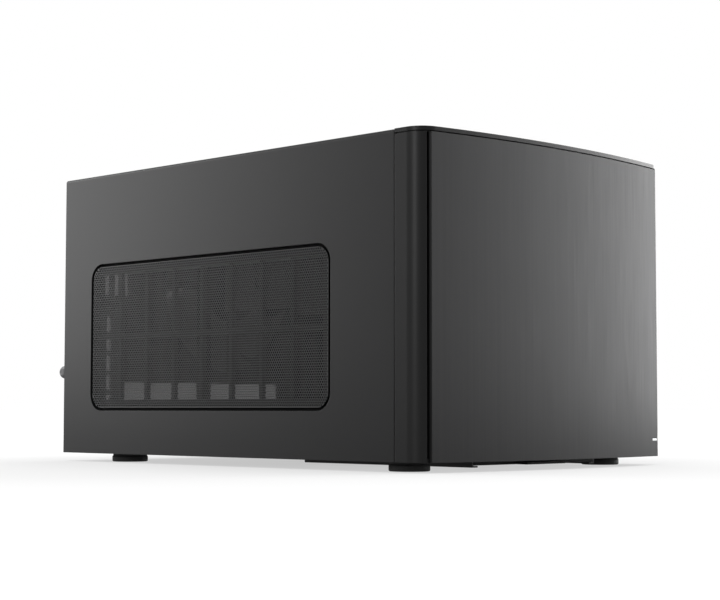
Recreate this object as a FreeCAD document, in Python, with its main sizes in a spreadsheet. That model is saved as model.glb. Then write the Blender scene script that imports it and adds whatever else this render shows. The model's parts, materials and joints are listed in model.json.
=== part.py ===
import FreeCAD, Part
import os
import re

import Sketcher

# Small computer case for a Mini-ITX board: a folded steel cover slides over an open chassis,
# a moulded bezel with a bowed aluminium fascia closes the front.
# Millimetres, +Z up, the front faces -Y, X to the right seen from the front.
# The origin lies on the floor, under the middle of the overall box.

# Driving sizes, one cell of the sheet each
SIZES = {
    # Overall
    "width": 250.0,
    "depth": 374.0,  # fascia middle to the cover's rear edge
    "height": 210.0,
    "ground_gap": 6.2,  # floor to the lower edge of cover and bezel
    "sheet": 1.0,  # steel sheet of cover and chassis
    "bend": 2.2,  # outside bend radius of the cover
    "slip": 0.3,  # clearance between pieces that slide together
    "flange": 8.0,  # inward folds of the cover
    "overcut": 1.0,  # cutters run this far past the faces that they open
    # Front bezel and fascia
    "bow": 11.6,  # fall of the bowed front from its middle to its ends
    "corner": 13.6,  # rounded upright corners
    "bezel_depth": 33.0,
    "bezel_wall": 2.4,
    "seam": 0.6,  # shadow line between bezel and cover
    "cap": 2.6,  # thickness of the lip over the fascia
    "groove": 0.7,  # shadow line below that lip
    "fascia_sheet": 2.0,
    "fascia_margin": 8.5,  # case side to fascia edge
    "intake": 2.6,  # width of the air slot beside the fascia
    "intake_deep": 12.0,  # depth of that slot behind the bow
    "glue": 0.1,  # adhesive film behind the fascia
    "clip_side": 14.0,  # case side to the bezel's clips
    "clip_rise": 24.0,  # tray to the lower clips
    "clip_thick": 3.0,
    "clip_height": 9.0,
    "clip_reach": 6.0,  # front panel to a clip's end
    "clip_play": 0.8,
    "window_bar": 14.0,  # bars of the back frame round its lower window
    "air_pitch": 32.0,  # air slots in the bezel's underside
    "air_width": 22.0,
    "air_front": 8.0,  # ends of the bow to the air slots
    "air_back": 4.0,  # air slots to the back frame
    "led_length": 6.5,
    "led_height": 1.5,
    "led_rise": 10.8,  # lower edge to the light slit
    "led_side": 1.0,  # fascia end to the light slit
    "lens_play": 0.1,
    # Vents in the cover
    "vent_front": 89.0,  # fascia middle to the vent's front end
    "vent_back": 33.0,  # cover's rear edge to the vent's rear end
    "vent_rise": 31.0,  # cover's lower edge to the vent's lower edge
    "vent_height": 107.0,
    "vent_corner": 12.0,
    "vent_lip": 3.0,  # depth of the rolled edge round a vent
    "psu_vent_length": 132.0,
    "psu_vent_height": 70.0,
    "mesh_sheet": 0.8,
    "mesh_rim": 5.0,  # overlap of a mesh sheet behind its opening
    "mesh_web": 4.0,  # web between the openings of a mesh sheet
    # Dust filters
    "filter_thick": 3.0,
    "filter_bar": 5.8,
    "filter_front": 8.0,  # vent's front end to the side filter's first bar
    "filter_rear": 5.8,  # the last bar past the vent's rear end
    "filter_edge": 2.0,  # vent's long edges to the side filter's bars
    "filter_play": 0.5,  # fan edge to the front filter's window
    "filter_lap": 1.5,  # overlap of the front filter behind its window
    "filter_inset": 1.0,  # extra width of the outer bars of the front and floor filters
    "front_bar": 4.0,
    "media": 0.5,
    "floor_filter_at": 12.5,  # middle of the floor filter, right of the case's middle
    "floor_filter_width": 125.0,
    "floor_bar": 5.0,
    "pull_width": 40.0,  # finger pull of the floor filter
    "pull_length": 9.4,
    "pull_thick": 1.6,
    "rail_gap": 2.0,  # front panel to the rails
    "rail_lip": 4.0,
    "rail_drop": 0.6,  # cover's lower edge to the top of the floor filter
    # Chassis
    "tray_level": 8.0,  # floor to the underside of the base tray
    "fold": 12.0,  # width of the chassis folds
    "hang_drop": 4.0,  # top of the case to the ledge of the drive brackets
    "air_margin": 10.0,  # edges of filter and power supply to the tray's air slots
    "air_right": 7.5,  # the same at the filter's right edge
    "tray_bar": 6.0,
    "tray_gap": 0.5,  # tray's rear fold to the board aperture
    # Board and rear panel
    "slot_to_board": 85.7,  # inner slot to the board's middle
    "board_hole_x": 157.48,
    "board_hole_y": 154.94,
    "board_hole_back": 11.7,  # rear panel to the rear pair of board holes
    "standoff": 7.0,
    "standoff_across": 5.0,
    "thread_radius": 1.5,
    "io_width": 158.75,
    "io_height": 44.45,
    "slot_to_io": 95.1,  # inner slot to the aperture's middle
    "io_rise": 8.35,  # cover's lower edge to the aperture
    "slot_pitch": 20.32,
    "slot_side": 18.18,  # case side to the outer slot's middle
    "slot_open": 13.4,
    "slot_height": 101.0,
    "slot_cover_width": 18.4,
    "shelf_end": 12.192,  # slot's middle to the end of the shelf
    "slit_width": 4.0,  # air slits in a slot cover, and the webs between them
    "slit_low": 9.0,  # slot's lower end to the first slit
    "slit_top": 7.0,  # last slit to the slot's upper end
    "rear_slit": 4.0,  # air slits above the slots
    "rear_slit_pitch": 9.0,
    "rear_slit_gap": 8.0,
    "rear_slit_height": 18.0,
    "hex_pitch": 24.0,  # fan guard in the rear panel
    "hex_web": 2.6,
    # Fans
    "front_fan": 92.0,
    "front_fan_hole": 82.5,
    "front_fan_hub": 17.48,  # radius
    "front_fan_chord": 13.8,  # half of a blade's chord
    "fan_drop": 8.0,  # ledge to the front fans
    "fan_mouth": 3.0,  # fan edge to the front panel's opening
    "rear_fan": 140.0,
    "rear_fan_hole": 124.5,
    "rear_fan_hub": 26.6,
    "rear_fan_chord": 21.0,
    "fan_side_gap": 4.5,  # power inlet to the rear fan
    "fan_roof_gap": 2.7,  # rear panel's top fold to the rear fan
    "fan_thick": 25.0,
    "fan_wall": 2.2,  # duct to the frame's edge
    "fan_plate": 3.0,  # motor seat and its arms
    "fan_arm": 5.0,
    "fan_hole": 2.1,
    "fan_gap": 1.0,  # rotor to motor seat, along the shaft
    "blade_thick": 1.6,
    "blade_rise": 7.2,  # half of a blade's pitch along the shaft
    "blade_sink": 0.3,  # blade root below the hub's surface
    "tip_gap": 1.2,
    "shaft_radius": 1.5,
    "shaft_play": 0.04,
    "shaft_end": 0.5,  # shaft end below the motor seat's face
    "shaft_sink": 1.0,  # shaft in the hub
    # Drive brackets and power supply
    "drive_width": 62.0,
    "drive_pitch": 74.0,
    "drive_length": 148.0,
    "drive_height": 100.0,
    "drive_gap": 7.0,  # front fans to the brackets
    "drive_slot_rise": 14.0,  # screw slots in the walls
    "drive_slot_gap": 60.0,
    "drive_slot_end": 30.0,
    "drive_slot_length": 14.0,
    "drive_slot_height": 8.0,
    "psu_width": 150.0,
    "psu_height": 86.0,
    "psu_gap": 4.0,  # front fold to the power supply
    "psu_margin": 6.0,  # bracket above the power supply
    "psu_frame": 14.0,  # bracket's edges to its window
    "psu_hole": 2.0,
    "psu_bolt_side": 6.0,  # standard screw places in the supply's back wall
    "psu_bolt_low": 6.0,
    "psu_bolt_gap": 74.0,
    "psu_bolt_step": 10.0,
    "psu_bolt_far": 138.0,
    "psu_bolt_upper": 114.0,
    "pad_at": 17.5,  # middle of the rubber pads, right of the case's middle
    "pad_pitch": 65.0,
    "pad_length": 40.0,
    "pad_width": 6.0,
    "pad_thick": 2.0,
    "pad_end": 2.0,
    # Front connections on the right side
    "button_drop": 32.0,  # top of the case to the button's middle
    "port_pitch": 26.0,
    "port_back": 6.2,  # bezel's rear edge to the line of the ports
    "usb_width": 5.8,
    "usb_height": 13.2,
    "usb_length": 14.0,
    "usb_wall": 0.5,
    "usb_back": 2.0,
    "usb_flush": 0.2,  # port's mouth below the bezel's side
    "tongue_thick": 1.8,
    "tongue_width": 9.6,
    "tongue_shift": 1.0,  # tongue in front of the port's middle
    "tongue_short": 2.0,  # port's mouth to the tongue
    "jack_radius": 3.0,
    "jack_bore": 1.8,
    "jack_pitch": 13.0,
    "jack_body_width": 6.4,
    "jack_body_height": 8.0,
    "button_width": 5.0,
    "button_height": 16.0,
    "button_travel": 1.0,
    "button_play": 0.3,
    "button_round": 2.0,
    "button_hole_round": 2.4,
    "button_flush": 0.1,  # cap below the bezel's side
    "button_gap": 0.4,  # flange to the bezel, stem to the pressed switch
    "button_flange": 2.2,
    "button_lap": 0.9,  # flange beside the cap
    "button_ear": 2.0,  # flange above and below the cap
    "button_stem": 3.0,
    "switch_width": 6.0,
    "switch_height": 3.4,
    "nub_radius": 1.6,
    "nub_height": 1.6,
    "board_sheet": 1.6,
    "pcb_end": 12.0,  # outermost port or button to the board's ends
    "pcb_front": 6.0,
    "pcb_back": 3.5,
    # Power inlet and fan speed switch on the rear panel
    "inlet_width": 20.0,
    "inlet_height": 27.0,
    "inlet_side": 23.5,  # case side to the inlet's middle
    "inlet_drop": 60.0,  # top of the case to the inlet's middle
    "inlet_deep": 24.0,
    "inlet_wall": 1.8,
    "inlet_roof": 1.6,  # walls above and below
    "inlet_back": 5.0,
    "inlet_lip": 1.2,  # flange past the body
    "inlet_flange": 2.4,
    "inlet_ear": 11.0,  # flange past the body, above and below
    "inlet_corner": 3.0,
    "pin_wide": 2.0,
    "pin_high": 4.0,
    "pin_short": 3.0,  # rear face to the pins' ends
    "pin_rise": 7.0,  # middle to the upper and lower pin
    "pin_live": 2.0,  # those two left of the middle
    "pin_earth": 3.0,  # third pin right of the middle
    "knob_width": 4.0,
    "knob_height": 5.0,
    "knob_travel": 3.0,  # each way from the middle position
    "knob_reach": 2.0,  # knob behind the cover's edge
    "control_width": 16.0,
    "control_height": 30.0,
    "control_gap": 8.0,  # rear panel to the far face of the control board
    "slider_wall": 3.0,  # switch body beside the knob's way
    "slider_end": 4.0,  # switch body above and below it
    "slider_deep": 4.0,
    "knob_side": 33.0,  # case side to the knob
    "knob_drop": 45.0,  # top of the case to the knob's middle position
    # Feet and thumbscrews
    "foot_radius": 13.0,
    "foot_side": 27.0,  # case side to the foot's axis
    "foot_front": 46.0,  # fascia middle to the front feet
    "foot_rear": 46.0,  # cover's rear edge to the rear feet
    "thumb_radius": 4.5,
    "thumb_length": 7.6,
    "thumb_shank": 6.0,
    "thumb_rise": 66.0,
    "thumb_left": 35.0,  # case side to the left screw in the roof's fold
    "thumb_right": 30.0,
    "thread_play": 0.1,
    "screw_radius": 1.4,
    "fan_screw_radius": 1.9,
    "fan_screw": 9.0,  # lengths of the small screws
    "drive_screw": 5.0,
    "slot_screw": 4.0,
    "screw_head": 1.8,  # head to shank, as a ratio
    "screw_top": 1.5,  # height of a screw head
}

# Named places, each a formula of sizes and of other places
PLACES = {
    "half": "width / 2",
    "inner": "width / 2 - sheet",
    "chassis": "inner - slip",
    "front": "-(depth + thumb_length) / 2",
    "rear": "front + depth",
    "base": "ground_gap",
    "ceiling": "height - sheet",
    "bow_radius": "(half ^ 2 + bow ^ 2) / (2 * bow)",
    "seat": "front + bezel_depth",
    "panel": "seat + sheet",
    "skirt_top": "height - cap - groove",
    "fascia_half": "half - fascia_margin",
    "backing": "fascia_sheet + glue",
    "frame_front": "seat - bezel_wall",
    "bay": "tray_level + sheet",
    "through": "sheet + 2 * overcut",
    "ledge": "height - hang_drop",
    "rear_out": "rear - sheet",
    "rear_in": "rear - 2 * sheet",
    "vent_from": "front + vent_front",
    "vent_to": "rear - vent_back",
    "vent_low": "base + vent_rise",
    "vent_top": "vent_low + vent_height",
    "lip_in": "half - vent_lip",
    "mesh_in": "lip_in - mesh_sheet",
    "filter_in": "mesh_in - filter_thick",
    "media_in": "filter_in - media",
    "psu_from": "panel + fold / 2 + psu_gap",
    "psu_to": "psu_from + psu_width",
    "psu_mid": "psu_from + psu_width / 2",
    "psu_centre": "bay + psu_height / 2",
    "psu_top": "bay + psu_height",
    "psu_face": "mesh_in - sheet",
    "fan_front": "panel",
    "fan_back": "panel + fan_thick",
    "front_fan_rise": "ledge - sheet - front_fan / 2 - fan_drop",
    "drive_from": "fan_back + drive_gap",
    "drive_to": "drive_from + drive_length",
    "drive_low": "ledge - drive_height",
    "beam_from": "drive_to + 2 * sheet",
    "beam_to": "beam_from + fold + 2 * sheet",
    "leg_out": "media_in - sheet",
    "slot_at": "-half + slot_side + slot_pitch",
    "board_at": "slot_at + slot_to_board",
    "io_at": "slot_at + slot_to_io",
    "inlet_at": "half - inlet_side",
    "inlet_rise": "height - inlet_drop",
    "knob_at": "-half + knob_side",
    "knob_rise": "height - knob_drop",
    "rear_fan_at": "inlet_at - inlet_width / 2 - fan_side_gap - rear_fan / 2",
    "rear_fan_rise": "ceiling - slip - sheet - fan_roof_gap - rear_fan / 2",
    "io_low": "base + io_rise",
    "io_top": "io_low + io_height",
    "slot_low": "io_low",
    "slot_top": "slot_low + slot_height",
    "slot_ledge": "slot_top + 2 * sheet",
    "board_back": "rear_in - board_hole_back",
    "port_line": "seat - port_back",
    "usb_out": "half - usb_flush",
    "usb_in": "usb_out - usb_length",
    "button_rise": "height - button_drop",
    "jack_rise": "button_rise - port_pitch",
    "port_rise": "button_rise - 3 * port_pitch",
    "pcb_in": "usb_in - board_sheet",
    "front_fan_side": "pcb_in / 2",
    "port_wall": "half - bezel_wall",
    "nub_top": "usb_in + switch_height + nub_height",
    "tray_filter_top": "base - rail_drop",
    "tray_filter_low": "tray_filter_top - filter_thick",
    "rail_from": "seat + rail_gap",
    "filter_to": "psu_to - 3 * rail_gap",
}

WORD = re.compile(r"[a-z_][a-z0-9_]*")
TOUCH = 0.01  # two faces this near count as one
PARALLEL = 0.999  # least cosine between an edge and its axis
HEX_SIDES = 6  # flats of hexagon posts, small screws and their holes
JACK_SIDES = 16
NUB_SIDES = 8
KNURL_SIDES = 12

doc = FreeCAD.newDocument("mini_itx_case")
sheet = doc.addObject("Spreadsheet::Sheet", "Sheet")
for row, (alias, number) in enumerate(SIZES.items(), start=1):
    sheet.set(f"A{row}", alias)
    sheet.set(f"B{row}", str(number))
    sheet.setAlias(f"B{row}", alias)
doc.recompute()


# Formulas and solids
def spell(formula):
    """Write a formula of places and sizes out in the sheet's own terms."""

    def swap(match):
        word = match.group()
        if word in PLACES:
            return "(" + spell(PLACES[word]) + ")"
        return "Sheet." + word if word in SIZES else word

    return WORD.sub(swap, str(formula))


def bind(thing, prop, formula):
    thing.setExpression(prop, spell(formula))


def size(alias):
    """The number that a cell of the sheet holds now."""
    return float(sheet.get(alias))


def block(name, x, y, z):
    """A box between two formulas on each axis."""
    box = doc.addObject("Part::Box", name)
    for prop, axis, (low, high) in zip(("Length", "Width", "Height"), "xyz", (x, y, z)):
        bind(box, prop, f"({high}) - ({low})")
        bind(box, f"Placement.Base.{axis}", low)
    return box


def span(middle, wide):
    """The two ends of a width about its middle."""
    return (f"({middle}) - ({wide}) / 2", f"({middle}) + ({wide}) / 2")


AXES = {"x": FreeCAD.Vector(1, 0, 0), "y": FreeCAD.Vector(0, 1, 0), "z": FreeCAD.Vector(0, 0, 1)}


def stand(thing, axis, at):
    """Turn a round solid's axis to X, Y or Z and bind its base point."""
    thing.Placement = FreeCAD.Placement(FreeCAD.Vector(), FreeCAD.Rotation(AXES["z"], AXES[axis]))
    for letter, formula in zip("xyz", at):
        bind(thing, f"Placement.Base.{letter}", formula)
    return thing


def rod(name, axis, at, radius, length):
    """A cylinder that starts at a point and runs up its axis."""
    cylinder = doc.addObject("Part::Cylinder", name)
    bind(cylinder, "Radius", radius)
    bind(cylinder, "Height", length)
    return stand(cylinder, axis, at)


def prism(name, sides, axis, at, radius, length):
    """An upright prism, its size given from the axis to a flat."""
    made = doc.addObject("Part::Prism", name)
    made.Polygon = sides
    bind(made, "Circumradius", f"({radius}) / cos({180 / sides})")
    bind(made, "Height", length)
    return stand(made, axis, at)


def pin_hole(name, axis, at, radius, length):
    """A small screw hole, six-sided to stay light."""
    return prism(name, HEX_SIDES, axis, at, radius, length)


def fuse(name, *pieces):
    joined = doc.addObject("Part::MultiFuse", name)
    joined.Shapes = list(pieces)
    joined.Refine = True
    return joined


def group(name, pieces):
    """Separate solids that share one node or one cut."""
    held = doc.addObject("Part::Compound", name)
    held.Links = list(pieces)
    return held


def cut(name, base, *tools):
    made = doc.addObject("Part::Cut", name)
    made.Base = base
    made.Tool = tools[0] if len(tools) == 1 else group(name + "_tools", tools)
    return made


def common(name, first, second):
    made = doc.addObject("Part::Common", name)
    made.Base = first
    made.Tool = second
    return made


def round_edges(name, base, axis, radius, wanted):
    """Fillet the straight edges along an axis that the test accepts."""
    doc.recompute()
    picked = []
    for index, edge in enumerate(base.Shape.Edges, start=1):
        if edge.Curve.TypeId != "Part::GeomLine":
            continue
        along = edge.tangentAt(edge.FirstParameter).dot(AXES[axis])
        if abs(along) > PARALLEL and wanted(edge.CenterOfMass):
            picked.append((index, radius, radius))
    rounded = doc.addObject("Part::Fillet", name)
    rounded.Base = base
    rounded.Edges = picked
    return rounded


def soft_block(name, x, y, z, axis, radius):
    """A box with its four edges along one axis rounded."""
    return round_edges(name, block(name + "_box", x, y, z), axis, radius, lambda point: True)


def drawing(body, name, plane, points):
    """A closed outline whose every corner is bound to the sheet."""
    outline = body.newObject("Sketcher::SketchObject", name)
    outline.AttachmentSupport = [(origin_feature(body, plane), "")]
    outline.MapMode = "FlatFace"
    count = len(points)
    ring = [FreeCAD.Vector(index + 1, (index * index) % 7 + 1, 0) for index in range(count)]
    for index in range(count):
        outline.addGeometry(Part.LineSegment(ring[index], ring[(index + 1) % count]))
    for index in range(count):
        outline.addConstraint(Sketcher.Constraint("Coincident", index, 2, (index + 1) % count, 1))
    for index, (across, up) in enumerate(points):
        for kind, letter, formula, start in (
            ("DistanceX", "u", across, ring[index].x),
            ("DistanceY", "v", up, ring[index].y),
        ):
            number = outline.addConstraint(Sketcher.Constraint(kind, -1, 1, index, 1, start))
            outline.renameConstraint(number, f"{letter}{index}")
            bind(outline, f"Constraints.{letter}{index}", formula)
    return outline


def origin_feature(body, role):
    return [feature for feature in body.Origin.OriginFeatures if feature.Role == role][0]


def turned(name, points, axis, at):
    """A body revolved from half its outline: radius across, height up its axis."""
    body = doc.addObject("PartDesign::Body", name)
    outline = drawing(body, name + "_half", "XZ_Plane", points)
    lathe = body.newObject("PartDesign::Revolution", name + "_lathe")
    lathe.Profile = outline
    lathe.ReferenceAxis = (outline, ["V_Axis"])
    lathe.Angle = 360
    return stand(body, axis, at)


def bowed(name, z, side, face, back):
    """The front's outline in plan, set in from the sides and from the bowed face."""
    slab = block(name + "_slab", (f"-half + {side}", f"half - {side}"), ("front - overcut", back), z)
    drum = rod(name + "_drum", "z", ("0", "front + bow_radius", z[0]),
               f"bow_radius - ({face})", f"({z[1]}) - ({z[0]})")
    plan = common(name + "_plan", slab, drum)
    doc.recompute()
    limit = plan.Shape.BoundBox.YMax - TOUCH
    radius = size("corner") - (size("bezel_wall") if side != "0" else 0)
    return round_edges(name, plan, "z", radius, lambda point: point.y < limit)


def bowed_band(name, x, z, face, thick):
    """A curved strip parallel to the bowed front."""
    centre = ("0", "front + bow_radius", z[0])
    tall = f"({z[1]}) - ({z[0]})"
    ring = cut(
        name + "_ring",
        rod(name + "_out", "z", centre, f"bow_radius - ({face})", tall),
        rod(name + "_in", "z", centre, f"bow_radius - ({face}) - ({thick})", tall),
    )
    return common(name, ring, block(name + "_span", x, ("front - overcut", "front + bow + corner"), z))


NODES = {}


def keep(name, thing):
    """List a finished sub-part under its node name."""
    thing.Label = name
    NODES[name] = thing
    return thing


def screw(name, axis, at, radius, length, way="+"):
    """A small six-sided screw: its head on the way side of the point, its shank on the other."""
    turn = "xyz".index(axis)
    head = list(at)
    shank = list(at)
    if way == "+":
        shank[turn] = f"({at[turn]}) - ({length})"
    else:
        head[turn] = f"({at[turn]}) - screw_top"
    flat = f"({radius}) * cos({180 / HEX_SIDES})"
    return fuse(name, prism(name + "_head", HEX_SIDES, axis, head, f"({radius}) * screw_head", "screw_top"),
                prism(name + "_shank", HEX_SIDES, axis, shank, flat, length))


# Outer cover: one folded sheet over top and sides
run = ("seat + seam", "rear")
cover_out = round_edges(
    "cover_out",
    block("cover_block", ("-half", "half"), run, ("base", "height")),
    "y",
    size("bend"),
    lambda point: point.z > size("height") - TOUCH,
)
cover_in = round_edges(
    "cover_in",
    block("cover_room", ("-inner", "inner"), ("seat", "rear + overcut"), ("base - overcut", "ceiling")),
    "y",
    size("bend") - size("sheet"),
    lambda point: point.z > size("height") - size("sheet") - TOUCH,
)
cover_shell = cut("cover_shell", cover_out, cover_in)
cover_folds = [
    block("cover_hem_left", ("-inner", "-inner + flange"), run, ("base", "base + sheet")),
    block("cover_hem_right", ("inner - flange", "inner"), run, ("base", "base + sheet")),
    block("cover_fold_left", ("-inner", "-inner + flange"), ("rear - sheet", "rear"), ("base", "ceiling")),
    block("cover_fold_right", ("inner - flange", "inner"), ("rear - sheet", "rear"), ("base", "ceiling")),
    block("cover_fold_top", ("-inner", "inner"), ("rear - sheet", "rear"), ("ceiling - flange", "ceiling")),
]
vent_y = ("vent_from", "vent_to")
vent_z = ("vent_low", "vent_top")
psu_vent_y = span("psu_mid", "psu_vent_length")
psu_vent_z = span("psu_centre", "psu_vent_height")


def wider(ends, by):
    return (f"{ends[0]} - {by}", f"{ends[1]} + {by}")


def inset(ends, by):
    return (f"{ends[0]} + {by}", f"{ends[1]} - {by}")


lips = [
    block("vent_rim", ("-half", "-lip_in"), wider(vent_y, "sheet"), wider(vent_z, "sheet")),
    block("psu_vent_rim", ("lip_in", "half"), wider(psu_vent_y, "sheet"), wider(psu_vent_z, "sheet")),
]
vent_round = size("vent_corner")
vent_holes = [
    soft_block("vent_hole", ("-half - overcut", "-lip_in + overcut"), vent_y, vent_z, "x", vent_round),
    soft_block("psu_vent_hole", ("lip_in - overcut", "half + overcut"), psu_vent_y, psu_vent_z, "x",
               vent_round),
]
thumb_spots = [
    ("-inner + flange / 2", "thumb_rise"),
    ("inner - flange / 2", "thumb_rise"),
    ("-half + thumb_left", "ceiling - flange / 2"),
    ("half - thumb_right", "ceiling - flange / 2"),
]
thumb_holes = [
    pin_hole(f"thumb_hole_{index}", "y", (x, "rear - sheet - overcut", z), "thread_radius + slip", "through")
    for index, (x, z) in enumerate(thumb_spots)
]
cover_solid = fuse("cover_solid", cover_shell, *cover_folds, *lips)
keep("outer_cover", cut("cover", cover_solid, *vent_holes, *thumb_holes))


def windows(name, axis, thick, first, second, columns, rows, bar):
    """Openings of a barred frame, in columns and rows with bars between."""
    holes = []
    step_a = f"(({first[1]}) - ({first[0]}) - ({bar})) / {columns}"
    step_b = f"(({second[1]}) - ({second[0]}) - ({bar})) / {rows}"
    opened = wider(thick, "overcut")
    for column in range(columns):
        for row in range(rows):
            low_a = f"{first[0]} + {bar} + {column} * {step_a}"
            low_b = f"{second[0]} + {bar} + {row} * {step_b}"
            ends_a = (low_a, f"{low_a} + {step_a} - {bar}")
            ends_b = (low_b, f"{low_b} + {step_b} - {bar}")
            order = {
                "x": (opened, ends_a, ends_b),
                "y": (ends_a, opened, ends_b),
                "z": (ends_a, ends_b, opened),
            }
            holes.append(block(f"{name}_window_{column}_{row}", *order[axis]))
    return holes


# Perforated sheets behind the two vents
def mesh_sheet(name, x, y, z, columns, rows):
    """A flat sheet with a regular field of openings, which overlaps its vent all round."""
    plate = block(name + "_plate", x, wider(y, "mesh_rim"), wider(z, "mesh_rim"))
    return keep(name, cut(name + "_cut", plate, *windows(name, "x", x, y, z, columns, rows, "mesh_web")))


mesh_sheet("side_vent_mesh", ("-lip_in", "-mesh_in"), vent_y, vent_z, columns=8, rows=3)
mesh_sheet("psu_vent_mesh", ("mesh_in", "lip_in"), psu_vent_y, psu_vent_z, columns=4, rows=2)

# Side filter, clipped behind the left vent
side_y = wider(vent_y, "mesh_rim")
side_z = wider(vent_z, "mesh_rim")
side_plate = block("side_filter_plate", ("-mesh_in", "-filter_in"), side_y, side_z)
side_holes = windows("side_filter", "x", ("-mesh_in", "-filter_in"),
                     ("vent_from + filter_front", "vent_to + filter_rear"), inset(vent_z, "filter_edge"),
                     columns=8, rows=2, bar="filter_bar")
keep("side_filter_frame", cut("side_filter_cut", side_plate, *side_holes))
keep("side_filter_mesh", block("side_media", ("-filter_in", "-media_in"), vent_y, vent_z))

# Base tray: floor with folded edges, air slots below the power supply and rails for its filter
tray_y = ("panel", "rear_in")
tray_floor = block("tray_floor", ("-chassis", "chassis"), tray_y, ("tray_level", "bay"))
tray_edges = [
    block("tray_left", ("-chassis", "-chassis + sheet"), tray_y, ("tray_level", "tray_level + fold / 2")),
    block("tray_right", ("chassis - sheet", "chassis"), tray_y, ("tray_level", "tray_level + fold / 2")),
    block("tray_front", ("-chassis", "chassis"), ("panel", "panel + sheet"),
          ("tray_level", "tray_level + fold")),
    block("tray_rear", ("-chassis", "chassis"), ("rear_in - sheet", "rear_in"),
          ("tray_level", "io_low - tray_gap")),
]
rail_x = span("floor_filter_at", "floor_filter_width")
rail_y = ("rail_from", "psu_to - 2 * rail_gap")
air_x = (f"{rail_x[0]} + air_margin", f"{rail_x[1]} - air_right")
air_y = ("psu_from + air_margin", "psu_to - air_margin")
rails = []
for side, wall, lip in (
    ("left", (f"{rail_x[0]} - slip - sheet", f"{rail_x[0]} - slip"),
     (f"{rail_x[0]} - slip", f"{rail_x[0]} + rail_lip")),
    ("right", (f"{rail_x[1]} + slip", f"{rail_x[1]} + slip + sheet"),
     (f"{rail_x[1]} - rail_lip", f"{rail_x[1]} + slip")),
):
    lip_low = ("tray_filter_low - slip - sheet", "tray_filter_low - slip")
    rails.append(block(f"rail_wall_{side}", wall, rail_y, (lip_low[0], "tray_level")))
    rails.append(block(f"rail_lip_{side}", lip, rail_y, lip_low))
    rails.append(block(f"rail_guide_{side}", lip, rail_y,
                       ("tray_filter_top + slip", "tray_filter_top + slip + sheet")))
tray_slots = windows("tray", "z", ("tray_level", "bay"), air_x, air_y,
                     columns=2, rows=7, bar="tray_bar")
board_spots = [
    (f"board_at {sign_x} board_hole_x / 2", place)
    for sign_x in "-+"
    for place in ("board_back", "board_back - board_hole_y")
]
keep("base_tray", cut("tray", fuse("tray_solid", tray_floor, *tray_edges, *rails), *tray_slots))

# Standoffs that carry the board
standoffs = []
for index, (x, y) in enumerate(board_spots):
    post = prism(f"post_{index}", HEX_SIDES, "z", (x, y, "bay"), "standoff_across / 2", "standoff")
    thread = rod(f"post_thread_{index}", "z", (x, y, "bay + sheet"), "thread_radius", "standoff")
    standoffs.append(cut(f"standoff_{index}", post, thread))
keep("board_standoffs", group("standoffs", standoffs))

# Sliding dust filter under the power supply
tray_filter = [
    block("tray_filter_plate", rail_x, ("rail_from", "filter_to"), ("tray_filter_low", "tray_filter_top")),
    block("tray_filter_pull", span("floor_filter_at", "pull_width"), ("rail_from - pull_length", "rail_from"),
          ("tray_filter_low", "tray_filter_low + pull_thick")),
]
tray_filter_holes = windows("tray_filter", "z", ("tray_filter_low", "tray_filter_top"),
                            inset(rail_x, "filter_inset"), inset(("rail_from", "filter_to"), "filter_inset"),
                            columns=4, rows=4, bar="floor_bar")
keep("psu_filter_frame", cut("tray_filter_cut", fuse("tray_filter_solid", *tray_filter), *tray_filter_holes))
keep("psu_filter_mesh", block("tray_media", inset(rail_x, "floor_bar"),
                              inset(("rail_from", "filter_to"), "floor_bar"),
                              ("tray_filter_top", "tray_filter_top + media / 2")))


# Flats round each turned part of a fan, enough to look and run round
DUCT_SIDES = 28
SEAT_SIDES = 12
HUB_SIDES = 14
SHAFT_SIDES = 14
SWEEP_SIDES = 21
BLADES = 7


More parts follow.
